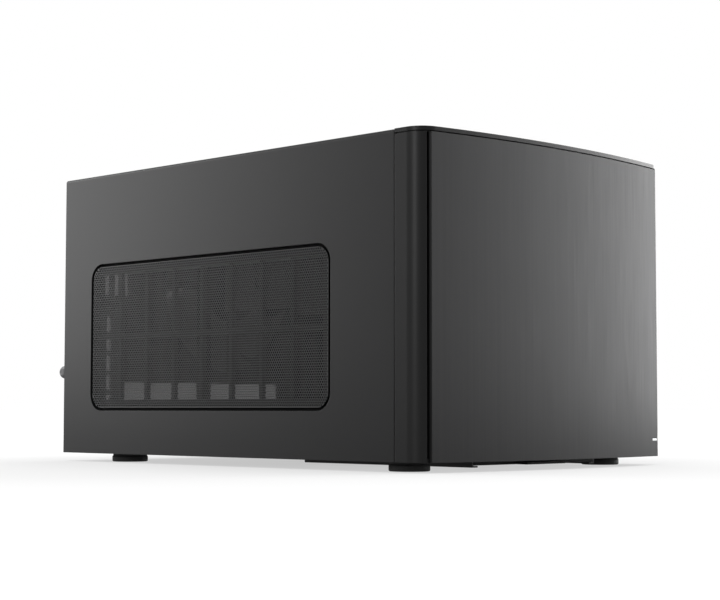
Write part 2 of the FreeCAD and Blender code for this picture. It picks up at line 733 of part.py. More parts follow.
# Fans: a square frame with a duct and a motor seat on four arms, and a turning rotor
def fan(name, across, at_x, at_z, near, motor):
    """A fan whose duct runs along Y from its near face. Its motor seat lies at the near or the far face."""
    hole, hub, chord = (f"{across}_{detail}" for detail in ("hole", "hub", "chord"))
    far = f"({near}) + fan_thick"
    bore = f"{across} / 2 - fan_wall"
    spots = [(f"({at_x}) {sign_x} ({hole}) / 2", f"({at_z}) {sign_z} ({hole}) / 2")
             for sign_x in "-+" for sign_z in "-+"]
    case = block(f"{name}_case", span(at_x, across), (near, far), span(at_z, across))
    start = f"({near}) - overcut"
    deep = "fan_thick + 2 * overcut"
    holes = [prism(f"{name}_bore", DUCT_SIDES, "y", (at_x, start, at_z), bore, deep)]
    for index, (x, z) in enumerate(spots):
        holes.append(pin_hole(f"{name}_screw_hole_{index}", "y", (x, start, z), "fan_hole", deep))
    shell = cut(f"{name}_shell", case, *holes)
    low = near if motor == "near" else f"({far}) - fan_plate"
    plate = (low, f"{low} + fan_plate")
    reach = f"({across} - fan_wall) / 2"
    arms = [
        prism(f"{name}_seat", SEAT_SIDES, "y", (at_x, low, at_z), hub, "fan_plate"),
        block(f"{name}_arm_across", (f"({at_x}) - {reach}", f"({at_x}) + {reach}"), plate,
              span(at_z, "fan_arm")),
        block(f"{name}_arm_up", span(at_x, "fan_arm"), plate, (f"({at_z}) - {reach}", f"({at_z}) + {reach}")),
    ]
    bearing = prism(f"{name}_bearing", SHAFT_SIDES, "y", (at_x, f"{low} - overcut", at_z),
                    "shaft_radius + shaft_play", "fan_plate + 2 * overcut")
    spider = cut(f"{name}_spider", fuse(f"{name}_arms", *arms), bearing)
    keep(f"{name}_frame", fuse(f"{name}_frame_solid", shell, spider))

    hub_low = f"({near}) + fan_plate + fan_gap" if motor == "near" else f"({near}) + fan_gap"
    hub_long = "fan_thick - fan_plate - 2 * fan_gap"
    blade_body = doc.addObject("PartDesign::Body", f"{name}_blade_body")
    root = f"sqrt({hub} ^ 2 - {chord} ^ 2) - blade_sink"
    middle = f"({hub_long}) / 2"
    lift = -1 if motor == "near" else 1
    rise = f"{lift} * blade_rise"
    section = [(f"-{chord}", f"{middle} - {rise}"), (chord, f"{middle} + {rise}"),
               (chord, f"{middle} + {rise} + blade_thick"), (f"-{chord}", f"{middle} - {rise} + blade_thick")]
    outline = drawing(blade_body, f"{name}_blade_section", "YZ_Plane", section)
    bind(outline, "AttachmentOffset.Base.z", root)
    blade = blade_body.newObject("PartDesign::Pad", f"{name}_blade")
    blade.Profile = outline
    bind(blade, "Length", f"{across} / 2 - ({root})")
    ring = blade_body.newObject("PartDesign::PolarPattern", f"{name}_blades")
    ring.Originals = [blade]
    ring.Axis = (origin_feature(blade_body, "Z_Axis"), [""])
    ring.Angle = 360
    ring.Occurrences = BLADES
    blade_body.Tip = ring
    stand(blade_body, "y", (at_x, hub_low, at_z))
    sweep = prism(f"{name}_sweep", SWEEP_SIDES, "y", (at_x, near, at_z), f"{bore} - tip_gap", "fan_thick")
    blades = common(f"{name}_trimmed", blade_body, sweep)
    pin_low = f"({near}) + shaft_end" if motor == "near" else f"({far}) - fan_plate - fan_gap - shaft_sink"
    keep(f"{name}_rotor", fuse(f"{name}_rotor_solid", blades,
                               prism(f"{name}_hub", HUB_SIDES, "y", (at_x, hub_low, at_z), hub, hub_long),
                               prism(f"{name}_shaft", SHAFT_SIDES, "y", (at_x, pin_low, at_z),
                                     f"shaft_radius * cos({180 / SHAFT_SIDES})",
                                     "fan_plate + fan_gap + shaft_sink - shaft_end")))


fan("front_fan_left", "front_fan", "-front_fan_side", "front_fan_rise", "fan_front", "far")
fan("front_fan_right", "front_fan", "front_fan_side", "front_fan_rise", "fan_front", "far")
fan("rear_fan", "rear_fan", "rear_fan_at", "rear_fan_rise", "rear_in - fan_thick", "near")

# Chassis front panel with the fan openings and the bezel's clip holes
front_panel = [
    block("front_plate", ("-chassis", "chassis"), ("seat", "panel"), ("tray_level", "ledge")),
    block("front_ledge", ("-chassis", "chassis"), ("panel", "panel + fold + 2 * sheet"),
          ("ledge - sheet", "ledge")),
]
clip_rises = ("tray_level + clip_rise", "ledge - fold")
clip_spots = [(f"{sign} (half - clip_side)", rise) for sign in "-+" for rise in clip_rises]
front_holes = [
    prism(f"front_hole_{side}", DUCT_SIDES, "y",
          (f"{sign} front_fan_side", "seat - overcut", "front_fan_rise"),
          "front_fan / 2 - fan_mouth", "through")
    for side, sign in (("left", "-"), ("right", "+"))
]
for index, (x, z) in enumerate(clip_spots):
    front_holes.append(block(f"clip_hole_{index}", span(x, "clip_thick + 2 * clip_play"),
                             wider(("seat", "panel"), "overcut"), span(z, "clip_height + 2 * clip_play")))
fan_spots = []
for side in "-+":
    for sign_x in "-+":
        for sign_z in "-+":
            fan_spots.append((f"{side} front_fan_side {sign_x} front_fan_hole / 2",
                              f"front_fan_rise {sign_z} front_fan_hole / 2"))
for index, (x, z) in enumerate(fan_spots):
    front_holes.append(pin_hole(f"front_screw_hole_{index}", "y", (x, "seat - overcut", z), "fan_hole",
                                "through"))
drive_spots = [(f"{step} * drive_pitch", y) for step in (-1, 0, 1)
               for y in ("panel + fold / 2 + sheet", "(beam_from + beam_to) / 2")]
for index, (x, y) in enumerate(drive_spots):
    if index % 2 == 0:
        front_holes.append(pin_hole(f"front_tap_{index}", "z", (x, y, "ledge - sheet - overcut"),
                                    "thread_radius", "through"))
keep("front_panel", cut("front_cut", fuse("front_solid", *front_panel), *front_holes))
keep("front_fan_screws", group("front_screws", [
    screw(f"front_screw_{index}", "y", (x, "seat", z), "fan_screw_radius", "fan_screw", "-")
    for index, (x, z) in enumerate(fan_spots)
]))

# Cross beam on two legs, which carries the rear ends of the drive brackets
beam_y = ("beam_from", "beam_to")
beam = [
    block("beam_top", ("-leg_out", "leg_out"), beam_y, ("ledge - sheet", "ledge")),
    block("beam_web", ("-leg_out", "leg_out"), ("beam_to - sheet", "beam_to"), ("ledge - fold", "ledge")),
    block("beam_leg_left", ("-leg_out", "-leg_out + sheet"), beam_y, ("bay", "ledge")),
    block("beam_leg_right", ("leg_out - sheet", "leg_out"), beam_y, ("bay", "ledge")),
    block("beam_foot_left", ("-leg_out", "-leg_out + fold"), beam_y, ("bay", "bay + sheet")),
    block("beam_foot_right", ("leg_out - fold", "leg_out"), beam_y, ("bay", "bay + sheet")),
]
beam_taps = [
    pin_hole(f"beam_tap_{index}", "z", (x, y, "ledge - sheet - overcut"), "thread_radius", "through")
    for index, (x, y) in enumerate(drive_spots)
    if index % 2 == 1
]
keep("drive_beam", cut("beam_cut", fuse("beam_solid", *beam), *beam_taps))

# Drive brackets: three white channels that hang from the ledges
drive_y = ("drive_from", "drive_to")
for step, side in ((-1, "left"), (0, "centre"), (1, "right")):
    middle = f"{step} * drive_pitch"
    walls = [
        block(f"drive_web_{side}", span(middle, "drive_width"), drive_y, ("ledge", "ledge + sheet")),
        block(f"drive_tongue_{side}", span(middle, "drive_width / 2"), ("panel + sheet", "beam_to"),
              ("ledge", "ledge + sheet")),
    ]
    slots = []
    for sign, edge in (("-", "+"), ("+", "-")):
        outer = f"{middle} {sign} drive_width / 2"
        ends = (outer, f"{outer} {edge} sheet") if sign == "-" else (f"{outer} {edge} sheet", outer)
        walls.append(block(f"drive_wall_{side}_{len(walls)}", ends, drive_y, ("drive_low", "ledge")))
        for row in ("drive_low + drive_slot_rise", "drive_low + drive_slot_rise + drive_slot_gap"):
            for along in ("drive_from + drive_slot_end", "drive_to - drive_slot_end - drive_slot_length"):
                slots.append(block(f"drive_slot_{side}_{len(slots)}", wider(ends, "overcut"),
                                   (along, f"{along} + drive_slot_length"),
                                   (row, f"{row} + drive_slot_height")))
    for index in range(2):
        x, y = drive_spots[2 * (step + 1) + index]
        slots.append(pin_hole(f"drive_hole_{side}_{index}", "z", (x, y, "ledge - overcut"), "thread_radius",
                              "through"))
    keep(f"drive_bracket_{side}", cut(f"drive_cut_{side}", fuse(f"drive_solid_{side}", *walls), *slots))
keep("drive_bracket_screws", group("drive_screws", [
    screw(f"drive_screw_{index}", "z", (x, y, "ledge + sheet"), "screw_radius", "drive_screw")
    for index, (x, y) in enumerate(drive_spots)
]))

# Power supply bracket: the supply's back wall screws to it and breathes out to the right
psu_y = ("psu_from", "psu_to")
psu_plate = block("psu_plate", ("psu_face - sheet", "psu_face"), psu_y, ("bay", "psu_top + psu_margin"))
psu_foot = block("psu_foot", ("psu_face - fold", "psu_face"), psu_y, ("bay", "bay + sheet"))
psu_bolts = (
    ("0", "0"),
    ("0", "psu_bolt_gap"),
    ("psu_bolt_far", "psu_bolt_step"),
    ("psu_bolt_upper", "psu_bolt_gap"),
)
psu_holes = [block("psu_window", wider(("psu_face - sheet", "psu_face"), "overcut"),
                   inset(psu_y, "psu_frame"), inset(("bay", "psu_top"), "psu_frame"))]
for index, (along, rise) in enumerate(psu_bolts):
    spot = ("psu_face - sheet - overcut", f"psu_from + psu_bolt_side + {along}",
            f"bay + psu_bolt_low + {rise}")
    psu_holes.append(rod(f"psu_hole_{index}", "x", spot, "psu_hole", "through"))
keep("psu_bracket", cut("psu_cut", fuse("psu_solid", psu_plate, psu_foot), *psu_holes))
pad_lines = (
    ("psu_from + pad_end", "psu_from + pad_end + pad_width"),
    ("psu_to - pad_end - pad_width", "psu_to - pad_end"),
)
keep("psu_pads", group("pads", [
    block(f"pad_{sign}_{line}", span(f"pad_at {way} pad_pitch / 2", "pad_length"), pad_lines[line],
          ("bay", "bay + pad_thick"))
    for sign, way in (("left", "-"), ("right", "+"))
    for line in range(2)
]))

# Rear panel: board aperture, fan guard, card slots, inlet and switch openings
rear_plate = [
    block("rear_plate", ("-chassis", "chassis"), ("rear_in", "rear_out"), ("tray_level", "ceiling - slip")),
    block("rear_fold_top", ("-chassis", "chassis"), ("rear_in - fold", "rear_in"),
          ("ceiling - slip - sheet", "ceiling - slip")),
    block("rear_fold_left", ("-chassis", "-chassis + sheet"), ("rear_in - fold", "rear_in"),
          ("tray_level + fold + sheet", "ceiling - slip")),
    block("rear_fold_right", ("chassis - sheet", "chassis"), ("rear_in - fold", "rear_in"),
          ("tray_level + fold + sheet", "ceiling - slip")),
    block("rear_slot_shelf", ("slot_at - slot_pitch - shelf_end", "slot_at + shelf_end"),
          ("rear_in - fold", "rear_in"), ("slot_ledge - sheet", "slot_ledge")),
]
rear_through = wider(("rear_in", "rear_out"), "overcut")
rear_holes = [block("io_hole", span("io_at", "io_width"), rear_through, ("io_low", "io_top"))]
for index in range(2):
    rear_holes.append(block(f"slot_hole_{index}", span(f"slot_at - {index} * slot_pitch", "slot_open"),
                            rear_through, ("slot_low", "slot_top")))
    rear_holes.append(pin_hole(f"slot_tap_{index}", "z",
                               (f"slot_at - {index} * slot_pitch", "rear_in - fold / 2",
                                "slot_ledge - sheet - overcut"),
                               "thread_radius", "through"))
guard = size("rear_fan") / 2 - 2 * size("fan_wall") - size("hex_pitch") / 2
reach = int(size("rear_fan") / size("hex_pitch"))
for row in range(-reach, reach + 1):
    for column in range(-reach, reach + 1):
        step = column + 0.5 * (row % 2)
        away = size("hex_pitch") * (step * step + 0.75 * row * row) ** 0.5
        if away <= guard:
            rear_holes.append(prism(f"guard_{row + reach}_{column + reach}", HEX_SIDES, "y",
                                    (f"rear_fan_at + {row} * hex_pitch * sqrt(3) / 2", "rear_in - overcut",
                                     f"rear_fan_rise + {step} * hex_pitch"),
                                    "(hex_pitch - hex_web) / 2", "through"))
rear_fan_spots = [(f"rear_fan_at {sign_x} rear_fan_hole / 2", f"rear_fan_rise {sign_z} rear_fan_hole / 2")
                  for sign_x in "-+" for sign_z in "-+"]
for index, (x, z) in enumerate(rear_fan_spots):
    rear_holes.append(pin_hole(f"rear_screw_hole_{index}", "y", (x, "rear_in - overcut", z), "fan_hole",
                               "through"))
for index, (x, z) in enumerate(thumb_spots):
    rear_holes.append(pin_hole(f"rear_thumb_{index}", "y", (x, "rear_in - overcut", z), "thread_radius",
                               "through"))
for sign, ends in (("left", ("-half", "-chassis + bend")), ("right", ("chassis - bend", "half"))):
    rear_holes.append(block(f"rear_relief_{sign}", ends, wider(("rear_in - fold", "rear_out"), "overcut"),
                            ("ceiling - slip - bend", "height")))
rear_holes.append(block("inlet_hole", span("inlet_at", "inlet_width + slip"), rear_through,
                        span("inlet_rise", "inlet_height + slip")))
rear_holes.append(block("knob_hole", span("knob_at", "knob_width + 4 * slip"), rear_through,
                        span("knob_rise", "knob_height + 2 * knob_travel + 4 * slip")))
SLITS = 6
for index in range(SLITS):
    middle = f"knob_at + {index - (SLITS - 1) / 2} * rear_slit_pitch"
    rear_holes.append(block(f"rear_vent_{index}", span(middle, "rear_slit"), rear_through,
                            ("slot_ledge + rear_slit_gap", "slot_ledge + rear_slit_gap + rear_slit_height")))
keep("rear_panel", cut("rear_cut", fuse("rear_solid", *rear_plate), *rear_holes))
keep("rear_fan_screws", group("rear_screws", [
    screw(f"rear_screw_{index}", "y", (x, "rear_out", z), "fan_screw_radius", "fan_screw")
    for index, (x, z) in enumerate(rear_fan_spots)
]))

# Card slot covers with a column of air slits, each held by a screw on the shelf
slot_screws = []
for index, side in ((0, "inner"), (1, "outer")):
    middle = f"slot_at - {index} * slot_pitch"
    strip = [
        block(f"slot_strip_{side}", span(middle, "slot_cover_width"), ("rear_in - sheet", "rear_in"),
              ("slot_low", "slot_ledge - sheet")),
        block(f"slot_blade_{side}", span(middle, "slot_open - 2 * slip"), ("rear_in - sheet", "rear_out"),
              ("slot_low + slip", "slot_top - slip")),
    ]
    slits = []
    for step in range(SLITS):
        pitch = f"(slot_height - slit_low - slit_top + slit_width) / {SLITS}"
        low = f"slot_low + slit_low + {step} * {pitch}"
        slits.append(block(f"slot_slit_{side}_{step}", span(middle, "slit_width"),
                           wider(("rear_in - sheet", "rear_out"), "overcut"),
                           (low, f"{low} + {pitch} - slit_width")))
    keep(f"slot_cover_{side}", cut(f"slot_cut_{side}", fuse(f"slot_solid_{side}", *strip), *slits))
    slot_screws.append(screw(f"slot_screw_{index}", "z", (middle, "rear_in - fold / 2", "slot_ledge"),
                             "screw_radius", "slot_screw"))
keep("slot_screws", group("slot_fasteners", slot_screws))

# Power inlet with its three pins
inlet_x = span("inlet_at", "inlet_width")
inlet_z = span("inlet_rise", "inlet_height")
inlet_body = [
    block("inlet_body", inlet_x, ("rear_out - inlet_deep", "rear_out"), inlet_z),
    soft_block("inlet_flange", wider(inlet_x, "inlet_lip"), ("rear_out", "rear_out + inlet_flange"),
               wider(inlet_z, "inlet_ear"), "y", size("inlet_corner")),
]
inlet_floor = "rear_out - inlet_deep + inlet_back"
inlet_cavity = block("inlet_cavity", inset(inlet_x, "inlet_wall"),
                     (inlet_floor, "rear_out + inlet_flange + overcut"), inset(inlet_z, "inlet_roof"))
keep("power_inlet", cut("inlet_cut", fuse("inlet_solid", *inlet_body), inlet_cavity))
keep("inlet_pins", group("pins", [
    block(f"pin_{index}", span(x, "pin_wide"), (inlet_floor, "rear_out - pin_short"), span(z, "pin_high"))
    for index, (x, z) in enumerate((
        ("inlet_at - pin_live", "inlet_rise - pin_rise"),
        ("inlet_at - pin_live", "inlet_rise + pin_rise"),
        ("inlet_at + pin_earth", "inlet_rise"),
    ))
]))

# Fan speed switch: a small board, a switch body and a sliding knob
control_back = "rear_in - control_gap + board_sheet"
keep("fan_control_board", block("control_board", span("knob_at", "control_width"),
                                ("rear_in - control_gap", control_back), span("knob_rise", "control_height")))
switch_body = block("switch_body", span("knob_at", "knob_width + 2 * slider_wall"), (control_back, "rear_in"),
                    span("knob_rise", "knob_height + 2 * knob_travel + 2 * slider_end"))
switch_way = block("switch_way", span("knob_at", "knob_width + 2 * slip"),
                   ("rear_in - slider_deep", "rear_in + overcut"),
                   span("knob_rise", "knob_height + 2 * knob_travel + 2 * slip"))
keep("fan_speed_switch", cut("switch_cut", switch_body, switch_way))
keep("fan_speed_knob", block("speed_knob", span("knob_at", "knob_width"),
                             ("rear_in - slider_deep + slip", "rear + knob_reach"),
                             span("knob_rise", "knob_height")))

# Front bezel: lip, skirt with rounded corners, backing wall for the fascia and a back frame
bezel_lip = bowed("bezel_lip", ("height - cap", "height"), "0", "0", "seat")
bezel_skirt = bowed("bezel_skirt", ("base", "skirt_top"), "0", "0", "seat")
bezel_neck = bowed("bezel_neck", ("skirt_top", "height - cap"), "bezel_wall / 2", "backing", "seat")
bezel_room = bowed("bezel_room", ("base + bezel_wall", "height - cap"), "bezel_wall", "backing + bezel_wall",
                   "frame_front")
fascia_x = ("-fascia_half - intake", "fascia_half + intake")
bezel_step = block("bezel_step", fascia_x, ("front - overcut", "front + bow + corner"),
                   ("base - overcut", "skirt_top"))
bezel_core = rod("bezel_core", "z", ("0", "front + bow_radius", "base - overcut"), "bow_radius - (backing)",
                 "height")
bezel_recess = cut("bezel_recess", bezel_step, bezel_core)
bezel_holes = [bezel_room, bezel_recess]
for sign, ends in (
    ("left", ("-fascia_half - intake", "-fascia_half")),
    ("right", ("fascia_half", "fascia_half + intake")),
):
    bezel_holes.append(block(f"intake_{sign}", ends, ("front - overcut", "front + bow + intake_deep"),
                             ("base + bezel_wall", "skirt_top")))
filter_x = wider(("-front_fan_side - front_fan / 2", "front_fan_side + front_fan / 2"), "filter_play")
filter_z = wider(("front_fan_rise - front_fan / 2", "front_fan_rise + front_fan / 2"), "filter_play")
frame_through = wider(("frame_front", "seat"), "overcut")
wall_through = wider(("port_wall", "half"), "overcut")
bezel_holes.append(block("bezel_window", filter_x, frame_through, filter_z))
bezel_holes.append(block("bezel_window_low", filter_x, frame_through,
                         ("base + window_bar", "front_fan_rise - front_fan / 2 - window_bar")))
bezel_holes.append(soft_block("button_hole", wall_through,
                              span("port_line", "button_width + 2 * button_play"),
                              span("button_rise", "button_height + 2 * button_play"), "x",
                              size("button_hole_round")))
jack_rises = [f"jack_rise {sign} jack_pitch / 2" for sign in "-+"]
for index in range(2):
    bezel_holes.append(block(f"usb_hole_{index}", wall_through, span("port_line", "usb_width + slip"),
                             span(f"port_rise + {index} * port_pitch", "usb_height + slip")))
    bezel_holes.append(prism(f"jack_hole_{index}", JACK_SIDES, "x",
                             (wall_through[0], "port_line", jack_rises[index]),
                             "jack_radius + slip / 2", "bezel_wall + 2 * overcut"))
AIR_SLOTS = 6
for index in range(AIR_SLOTS):
    middle = f"{index - (AIR_SLOTS - 1) / 2} * air_pitch"
    bezel_holes.append(block(f"bezel_air_{index}", span(middle, "air_width"),
                             ("front + bow + air_front", "frame_front - air_back"),
                             wider(("base", "base + bezel_wall"), "overcut")))
bezel_clips = []
for index, (x, z) in enumerate(clip_spots):
    bezel_clips.append(block(f"clip_{index}", span(x, "clip_thick"), ("seat - overcut", "panel + clip_reach"),
                             span(z, "clip_height")))
bezel_solid = fuse("bezel_solid", bezel_lip, bezel_skirt, bezel_neck)
keep("bezel_frame", fuse("bezel", cut("bezel_cut", bezel_solid, *bezel_holes), *bezel_clips))

# Fascia, bowed aluminium, with a slit for the power light at its lower right end
led_x = ("fascia_half - led_side - led_length", "fascia_half - led_side")
led_z = ("base + led_rise", "base + led_rise + led_height")
fascia_band = bowed_band("fascia_band", ("-fascia_half", "fascia_half"), ("base", "skirt_top"), "0",
                         "fascia_sheet")
led_hole = block("led_hole", wider(led_x, "lens_play"), ("front - overcut", "front + bow + corner"),
                 wider(led_z, "lens_play"))
keep("fascia_plate", cut("fascia_cut", fascia_band, led_hole))
keep("power_led_lens", bowed_band("led_band", led_x, led_z, "lens_play", "fascia_sheet - lens_play"))

# Front filter behind the bezel's window
filter_y = ("frame_front - filter_thick", "frame_front")
front_filter_plate = block("front_filter_plate", wider(filter_x, "filter_lap"), filter_y,
                           wider(filter_z, "filter_lap"))
front_filter_holes = windows("front_filter", "y", filter_y, inset(filter_x, "filter_inset"),
                             inset(filter_z, "filter_inset"), columns=6, rows=3, bar="front_bar")
keep("front_filter_frame", cut("front_filter_cut", front_filter_plate, *front_filter_holes))
keep("front_filter_mesh", block("front_media", filter_x, (f"{filter_y[0]} - media", filter_y[0]), filter_z))

# Connection board in the right end of the bezel
pcb_z = wider(("port_rise", "button_rise"), "pcb_end")
keep("io_board", block("pcb", ("pcb_in", "usb_in"), ("port_line - pcb_front", "port_line + pcb_back"), pcb_z))
for index, side in ((0, "lower"), (1, "upper")):
    rise = f"port_rise + {index} * port_pitch"
    shell = block(f"usb_shell_{side}", ("usb_in", "usb_out"), span("port_line", "usb_width"),
                  span(rise, "usb_height"))
    room = block(f"usb_room_{side}", ("usb_in + usb_back", "usb_out + overcut"),
                 span("port_line", "usb_width - 2 * usb_wall"), span(rise, "usb_height - 2 * usb_wall"))
    tongue = block(f"usb_tongue_{side}", ("usb_in", "usb_out - tongue_short"),
                   span("port_line - tongue_shift", "tongue_thick"), span(rise, "tongue_width"))
    keep(f"usb_port_{side}", fuse(f"usb_{side}", cut(f"usb_cut_{side}", shell, room), tongue))
for side, rise in zip(("microphone", "headphone"), jack_rises):
    barrel = prism(f"{side}_barrel", JACK_SIDES, "x", ("usb_in", "port_line", rise), "jack_radius",
                   "usb_length")
    housing = block(f"{side}_housing", ("usb_in", "port_wall - overcut"),
                    span("port_line", "jack_body_width"), span(rise, "jack_body_height"))
    bore = rod(f"{side}_bore", "x", ("usb_in + usb_back", "port_line", rise), "jack_bore", "usb_length")
    keep(f"{side}_jack", cut(f"{side}_cut", fuse(f"{side}_solid", barrel, housing), bore))

# Power button: a sprung cap in the bezel and the switch behind it
button_y = span("port_line", "button_width")
button_z = span("button_rise", "button_height")
button_parts = [
    soft_block("button_cap", ("port_wall - button_flange", "half - button_flush"), button_y, button_z, "x",
               size("button_round")),
    block("button_flange", ("port_wall - button_gap - button_flange", "port_wall - button_gap"),
          wider(button_y, "button_lap"), wider(button_z, "button_ear")),
    block("button_stem", ("nub_top + button_travel + button_gap", "port_wall - button_flange"),
          span("port_line", "button_stem"), span("button_rise", "button_stem")),
]
keep("power_button", fuse("button", *button_parts))
keep("power_switch", fuse("switch_pill",
                          block("switch_base", ("usb_in", "usb_in + switch_height"),
                                span("port_line", "switch_width"), span("button_rise", "switch_width")),
                          prism("switch_nub", NUB_SIDES, "x", ("usb_in", "port_line", "button_rise"),
                                "nub_radius", "switch_height + nub_height")))

# Feet and thumbscrews
foot_outline = [
    ("0", "0"),
    ("foot_radius", "0"),
    ("foot_radius", "tray_level"),
    ("0", "tray_level"),
]
keep("feet", group("foot_set", [
    turned(f"foot_{end}_{side}", foot_outline, "z", (f"{sign} (half - foot_side)", y, "0"))
    for end, y in (("front", "front + foot_front"), ("rear", "rear - foot_rear"))
    for side, sign in (("left", "-"), ("right", "+"))
]))
thumbs = []
for index, (x, z) in enumerate(thumb_spots):
    head = prism(f"thumb_head_{index}", KNURL_SIDES, "y", (x, "rear", z), "thumb_radius", "thumb_length")
    shank = prism(f"thumb_shank_{index}", HEX_SIDES, "y", (x, "rear - thumb_shank", z),
                  f"(thread_radius - thread_play) * cos({180 / HEX_SIDES})", "thumb_shank")
    thumbs.append(fuse(f"thumb_{index}", head, shank))
keep("cover_thumbscrews", group("thumbs", thumbs))

# Recompute, check and export
doc.recompute()
troubled = [
    thing.Name
    for thing in doc.Objects
    if "Invalid" in thing.State or "Error" in thing.State or "Touched" in thing.State
]
if troubled:
    raise RuntimeError("not rebuilt: " + ", ".join(troubled))
os.makedirs("parts", exist_ok=True)
for name, thing in NODES.items():
    shape = thing.Shape
    if shape.isNull() or not shape.isValid() or not shape.Solids:
        raise RuntimeError("no sound solid: " + name)
    shape.exportStep(f"parts/{name}.step")
print(len(NODES), "sub-parts written")
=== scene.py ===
"""Looks of a small computer case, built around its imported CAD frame."""

import json
import math

import bmesh
import bpy
from mathutils import Matrix, Vector


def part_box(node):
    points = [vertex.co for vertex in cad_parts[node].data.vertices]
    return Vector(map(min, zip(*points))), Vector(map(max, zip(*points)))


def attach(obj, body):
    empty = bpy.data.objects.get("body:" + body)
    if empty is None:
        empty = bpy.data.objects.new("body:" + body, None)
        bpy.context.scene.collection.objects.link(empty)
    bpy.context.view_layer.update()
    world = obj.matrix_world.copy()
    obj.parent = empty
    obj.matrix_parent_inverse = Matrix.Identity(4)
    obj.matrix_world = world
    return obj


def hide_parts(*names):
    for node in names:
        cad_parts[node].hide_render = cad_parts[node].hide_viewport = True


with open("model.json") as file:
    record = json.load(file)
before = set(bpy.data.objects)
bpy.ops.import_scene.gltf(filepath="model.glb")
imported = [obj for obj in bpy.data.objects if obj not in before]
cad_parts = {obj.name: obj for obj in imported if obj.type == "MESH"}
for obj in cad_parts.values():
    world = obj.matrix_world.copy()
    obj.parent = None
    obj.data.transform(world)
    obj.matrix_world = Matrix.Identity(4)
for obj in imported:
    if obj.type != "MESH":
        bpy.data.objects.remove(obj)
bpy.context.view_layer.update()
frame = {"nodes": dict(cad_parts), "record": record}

MM = 0.001
CASE = "case"


# Node helpers
NOISE_LOW = 0.3  # noise mostly stays between these two
NOISE_HIGH = 0.7
BEVEL_SAMPLES = 4


def link(tree, source, target):
    tree.links.new(source, target)


def add(tree, kind, **settings):
    """A shader node with its properties set."""
    node = tree.nodes.new(kind)
    for name, value in settings.items():
        setattr(node, name, value)
    return node


def place(tree, stretch=(1, 1, 1)):
    """Coordinates in metres in the case's own frame, stretched along its axes."""
    here = add(tree, "ShaderNodeTexCoord")
    scaled = add(tree, "ShaderNodeMapping")
    scaled.inputs["Scale"].default_value = stretch
    link(tree, here.outputs["Object"], scaled.inputs["Vector"])
    return scaled.outputs["Vector"]


def noise(tree, grain, detail, stretch=(1, 1, 1)):
    """Noise whose grain is a length in metres."""
    made = add(tree, "ShaderNodeTexNoise")
    made.inputs["Scale"].default_value = 1 / grain
    made.inputs["Detail"].default_value = detail
    link(tree, place(tree, stretch), made.inputs["Vector"])
    return made.outputs["Fac"]


def between(tree, factor, low, high):
    """Map noise to a range of values."""
    ranged = add(tree, "ShaderNodeMapRange")
    ranged.inputs["From Min"].default_value = NOISE_LOW
    ranged.inputs["From Max"].default_value = NOISE_HIGH
    ranged.inputs["To Min"].default_value = low
    ranged.inputs["To Max"].default_value = high
    link(tree, factor, ranged.inputs["Value"])
    return ranged.outputs["Result"]


def tinted(tree, factor, dark, light):
    """Mix two colours by a factor."""
    mix = add(tree, "ShaderNodeMix", data_type="RGBA")
    mix.inputs["A"].default_value = (*dark, 1)
    mix.inputs["B"].default_value = (*light, 1)
    link(tree, factor, mix.inputs["Factor"])
    return mix.outputs["Result"]


def relief(tree, height, depth, edge):
    """Bump of a depth in metres over edges rounded by a radius."""
    bump = add(tree, "ShaderNodeBump")
    bump.inputs["Strength"].default_value = 1.0
    bump.inputs["Distance"].default_value = depth
    link(tree, height, bump.inputs["Height"])
    if edge:
        soft = add(tree, "ShaderNodeBevel", samples=BEVEL_SAMPLES)
        soft.inputs["Radius"].default_value = edge
        link(tree, soft.outputs["Normal"], bump.inputs["Normal"])
    return bump.outputs["Normal"]


def shade(colour, factor):
    return tuple(min(1.0, part * factor) for part in colour)


# Materials
MOTTLE = 0.1  # shift of a colour each way over a surface
BRUSH_LINE = 0.22 * MM
BRUSH_BAND = 1.6 * MM
WAVE_TURN = math.tau / 20  # length of one wave at a scale of one
WEAVE_DEPTH = 0.05 * MM
WEAVE_ROUGH = 0.7
WEAVE_DARK = 0.5  # colour between the threads and on them, as shares of the mean
WEAVE_LIGHT = 1.2


def fresh(name):
    """A new material with its node tree and its main shader."""
    made = bpy.data.materials.new(name)
    made.use_nodes = True
    return made, made.node_tree, made.node_tree.nodes["Principled BSDF"]


def mottled(tree, factor, colour):
    """A colour that varies a little both ways."""
    return tinted(tree, factor, shade(colour, 1 - MOTTLE), shade(colour, 1 + MOTTLE))


def coated(name, colour, rough, grain, depth, mottle, spread=0.08, edge=0.4 * MM, specular=0.5):
    """A grained coat: fine bump, mottled colour and a roughness that varies with the grain."""
    made, tree, skin = fresh(name)
    fine = noise(tree, grain, detail=3)
    wide = noise(tree, mottle, detail=2)
    link(tree, mottled(tree, wide, colour), skin.inputs["Base Color"])
    link(tree, between(tree, fine, rough - spread, rough + spread), skin.inputs["Roughness"])
    link(tree, relief(tree, fine, depth, edge), skin.inputs["Normal"])
    skin.inputs["Specular IOR Level"].default_value = specular
    return made


def metal(name, colour, rough, streak, spread=0.06, edge=0.2 * MM, spin=0.0, depth=0.004 * MM):
    """Brushed metal: streaks along one axis in colour, roughness and bump."""
    made, tree, skin = fresh(name)
    lines = noise(tree, BRUSH_LINE, detail=4, stretch=streak)
    bands = noise(tree, BRUSH_BAND, detail=2, stretch=streak)
    link(tree, mottled(tree, bands, colour), skin.inputs["Base Color"])
    link(tree, between(tree, lines, rough - spread, rough + spread), skin.inputs["Roughness"])
    link(tree, relief(tree, lines, depth, edge), skin.inputs["Normal"])
    skin.inputs["Metallic"].default_value = 1.0
    if spin:
        skin.inputs["Anisotropic"].default_value = spin
        around = add(tree, "ShaderNodeTangent", direction_type="RADIAL", axis="Z")
        link(tree, around.outputs["Tangent"], skin.inputs["Tangent"])
    return made


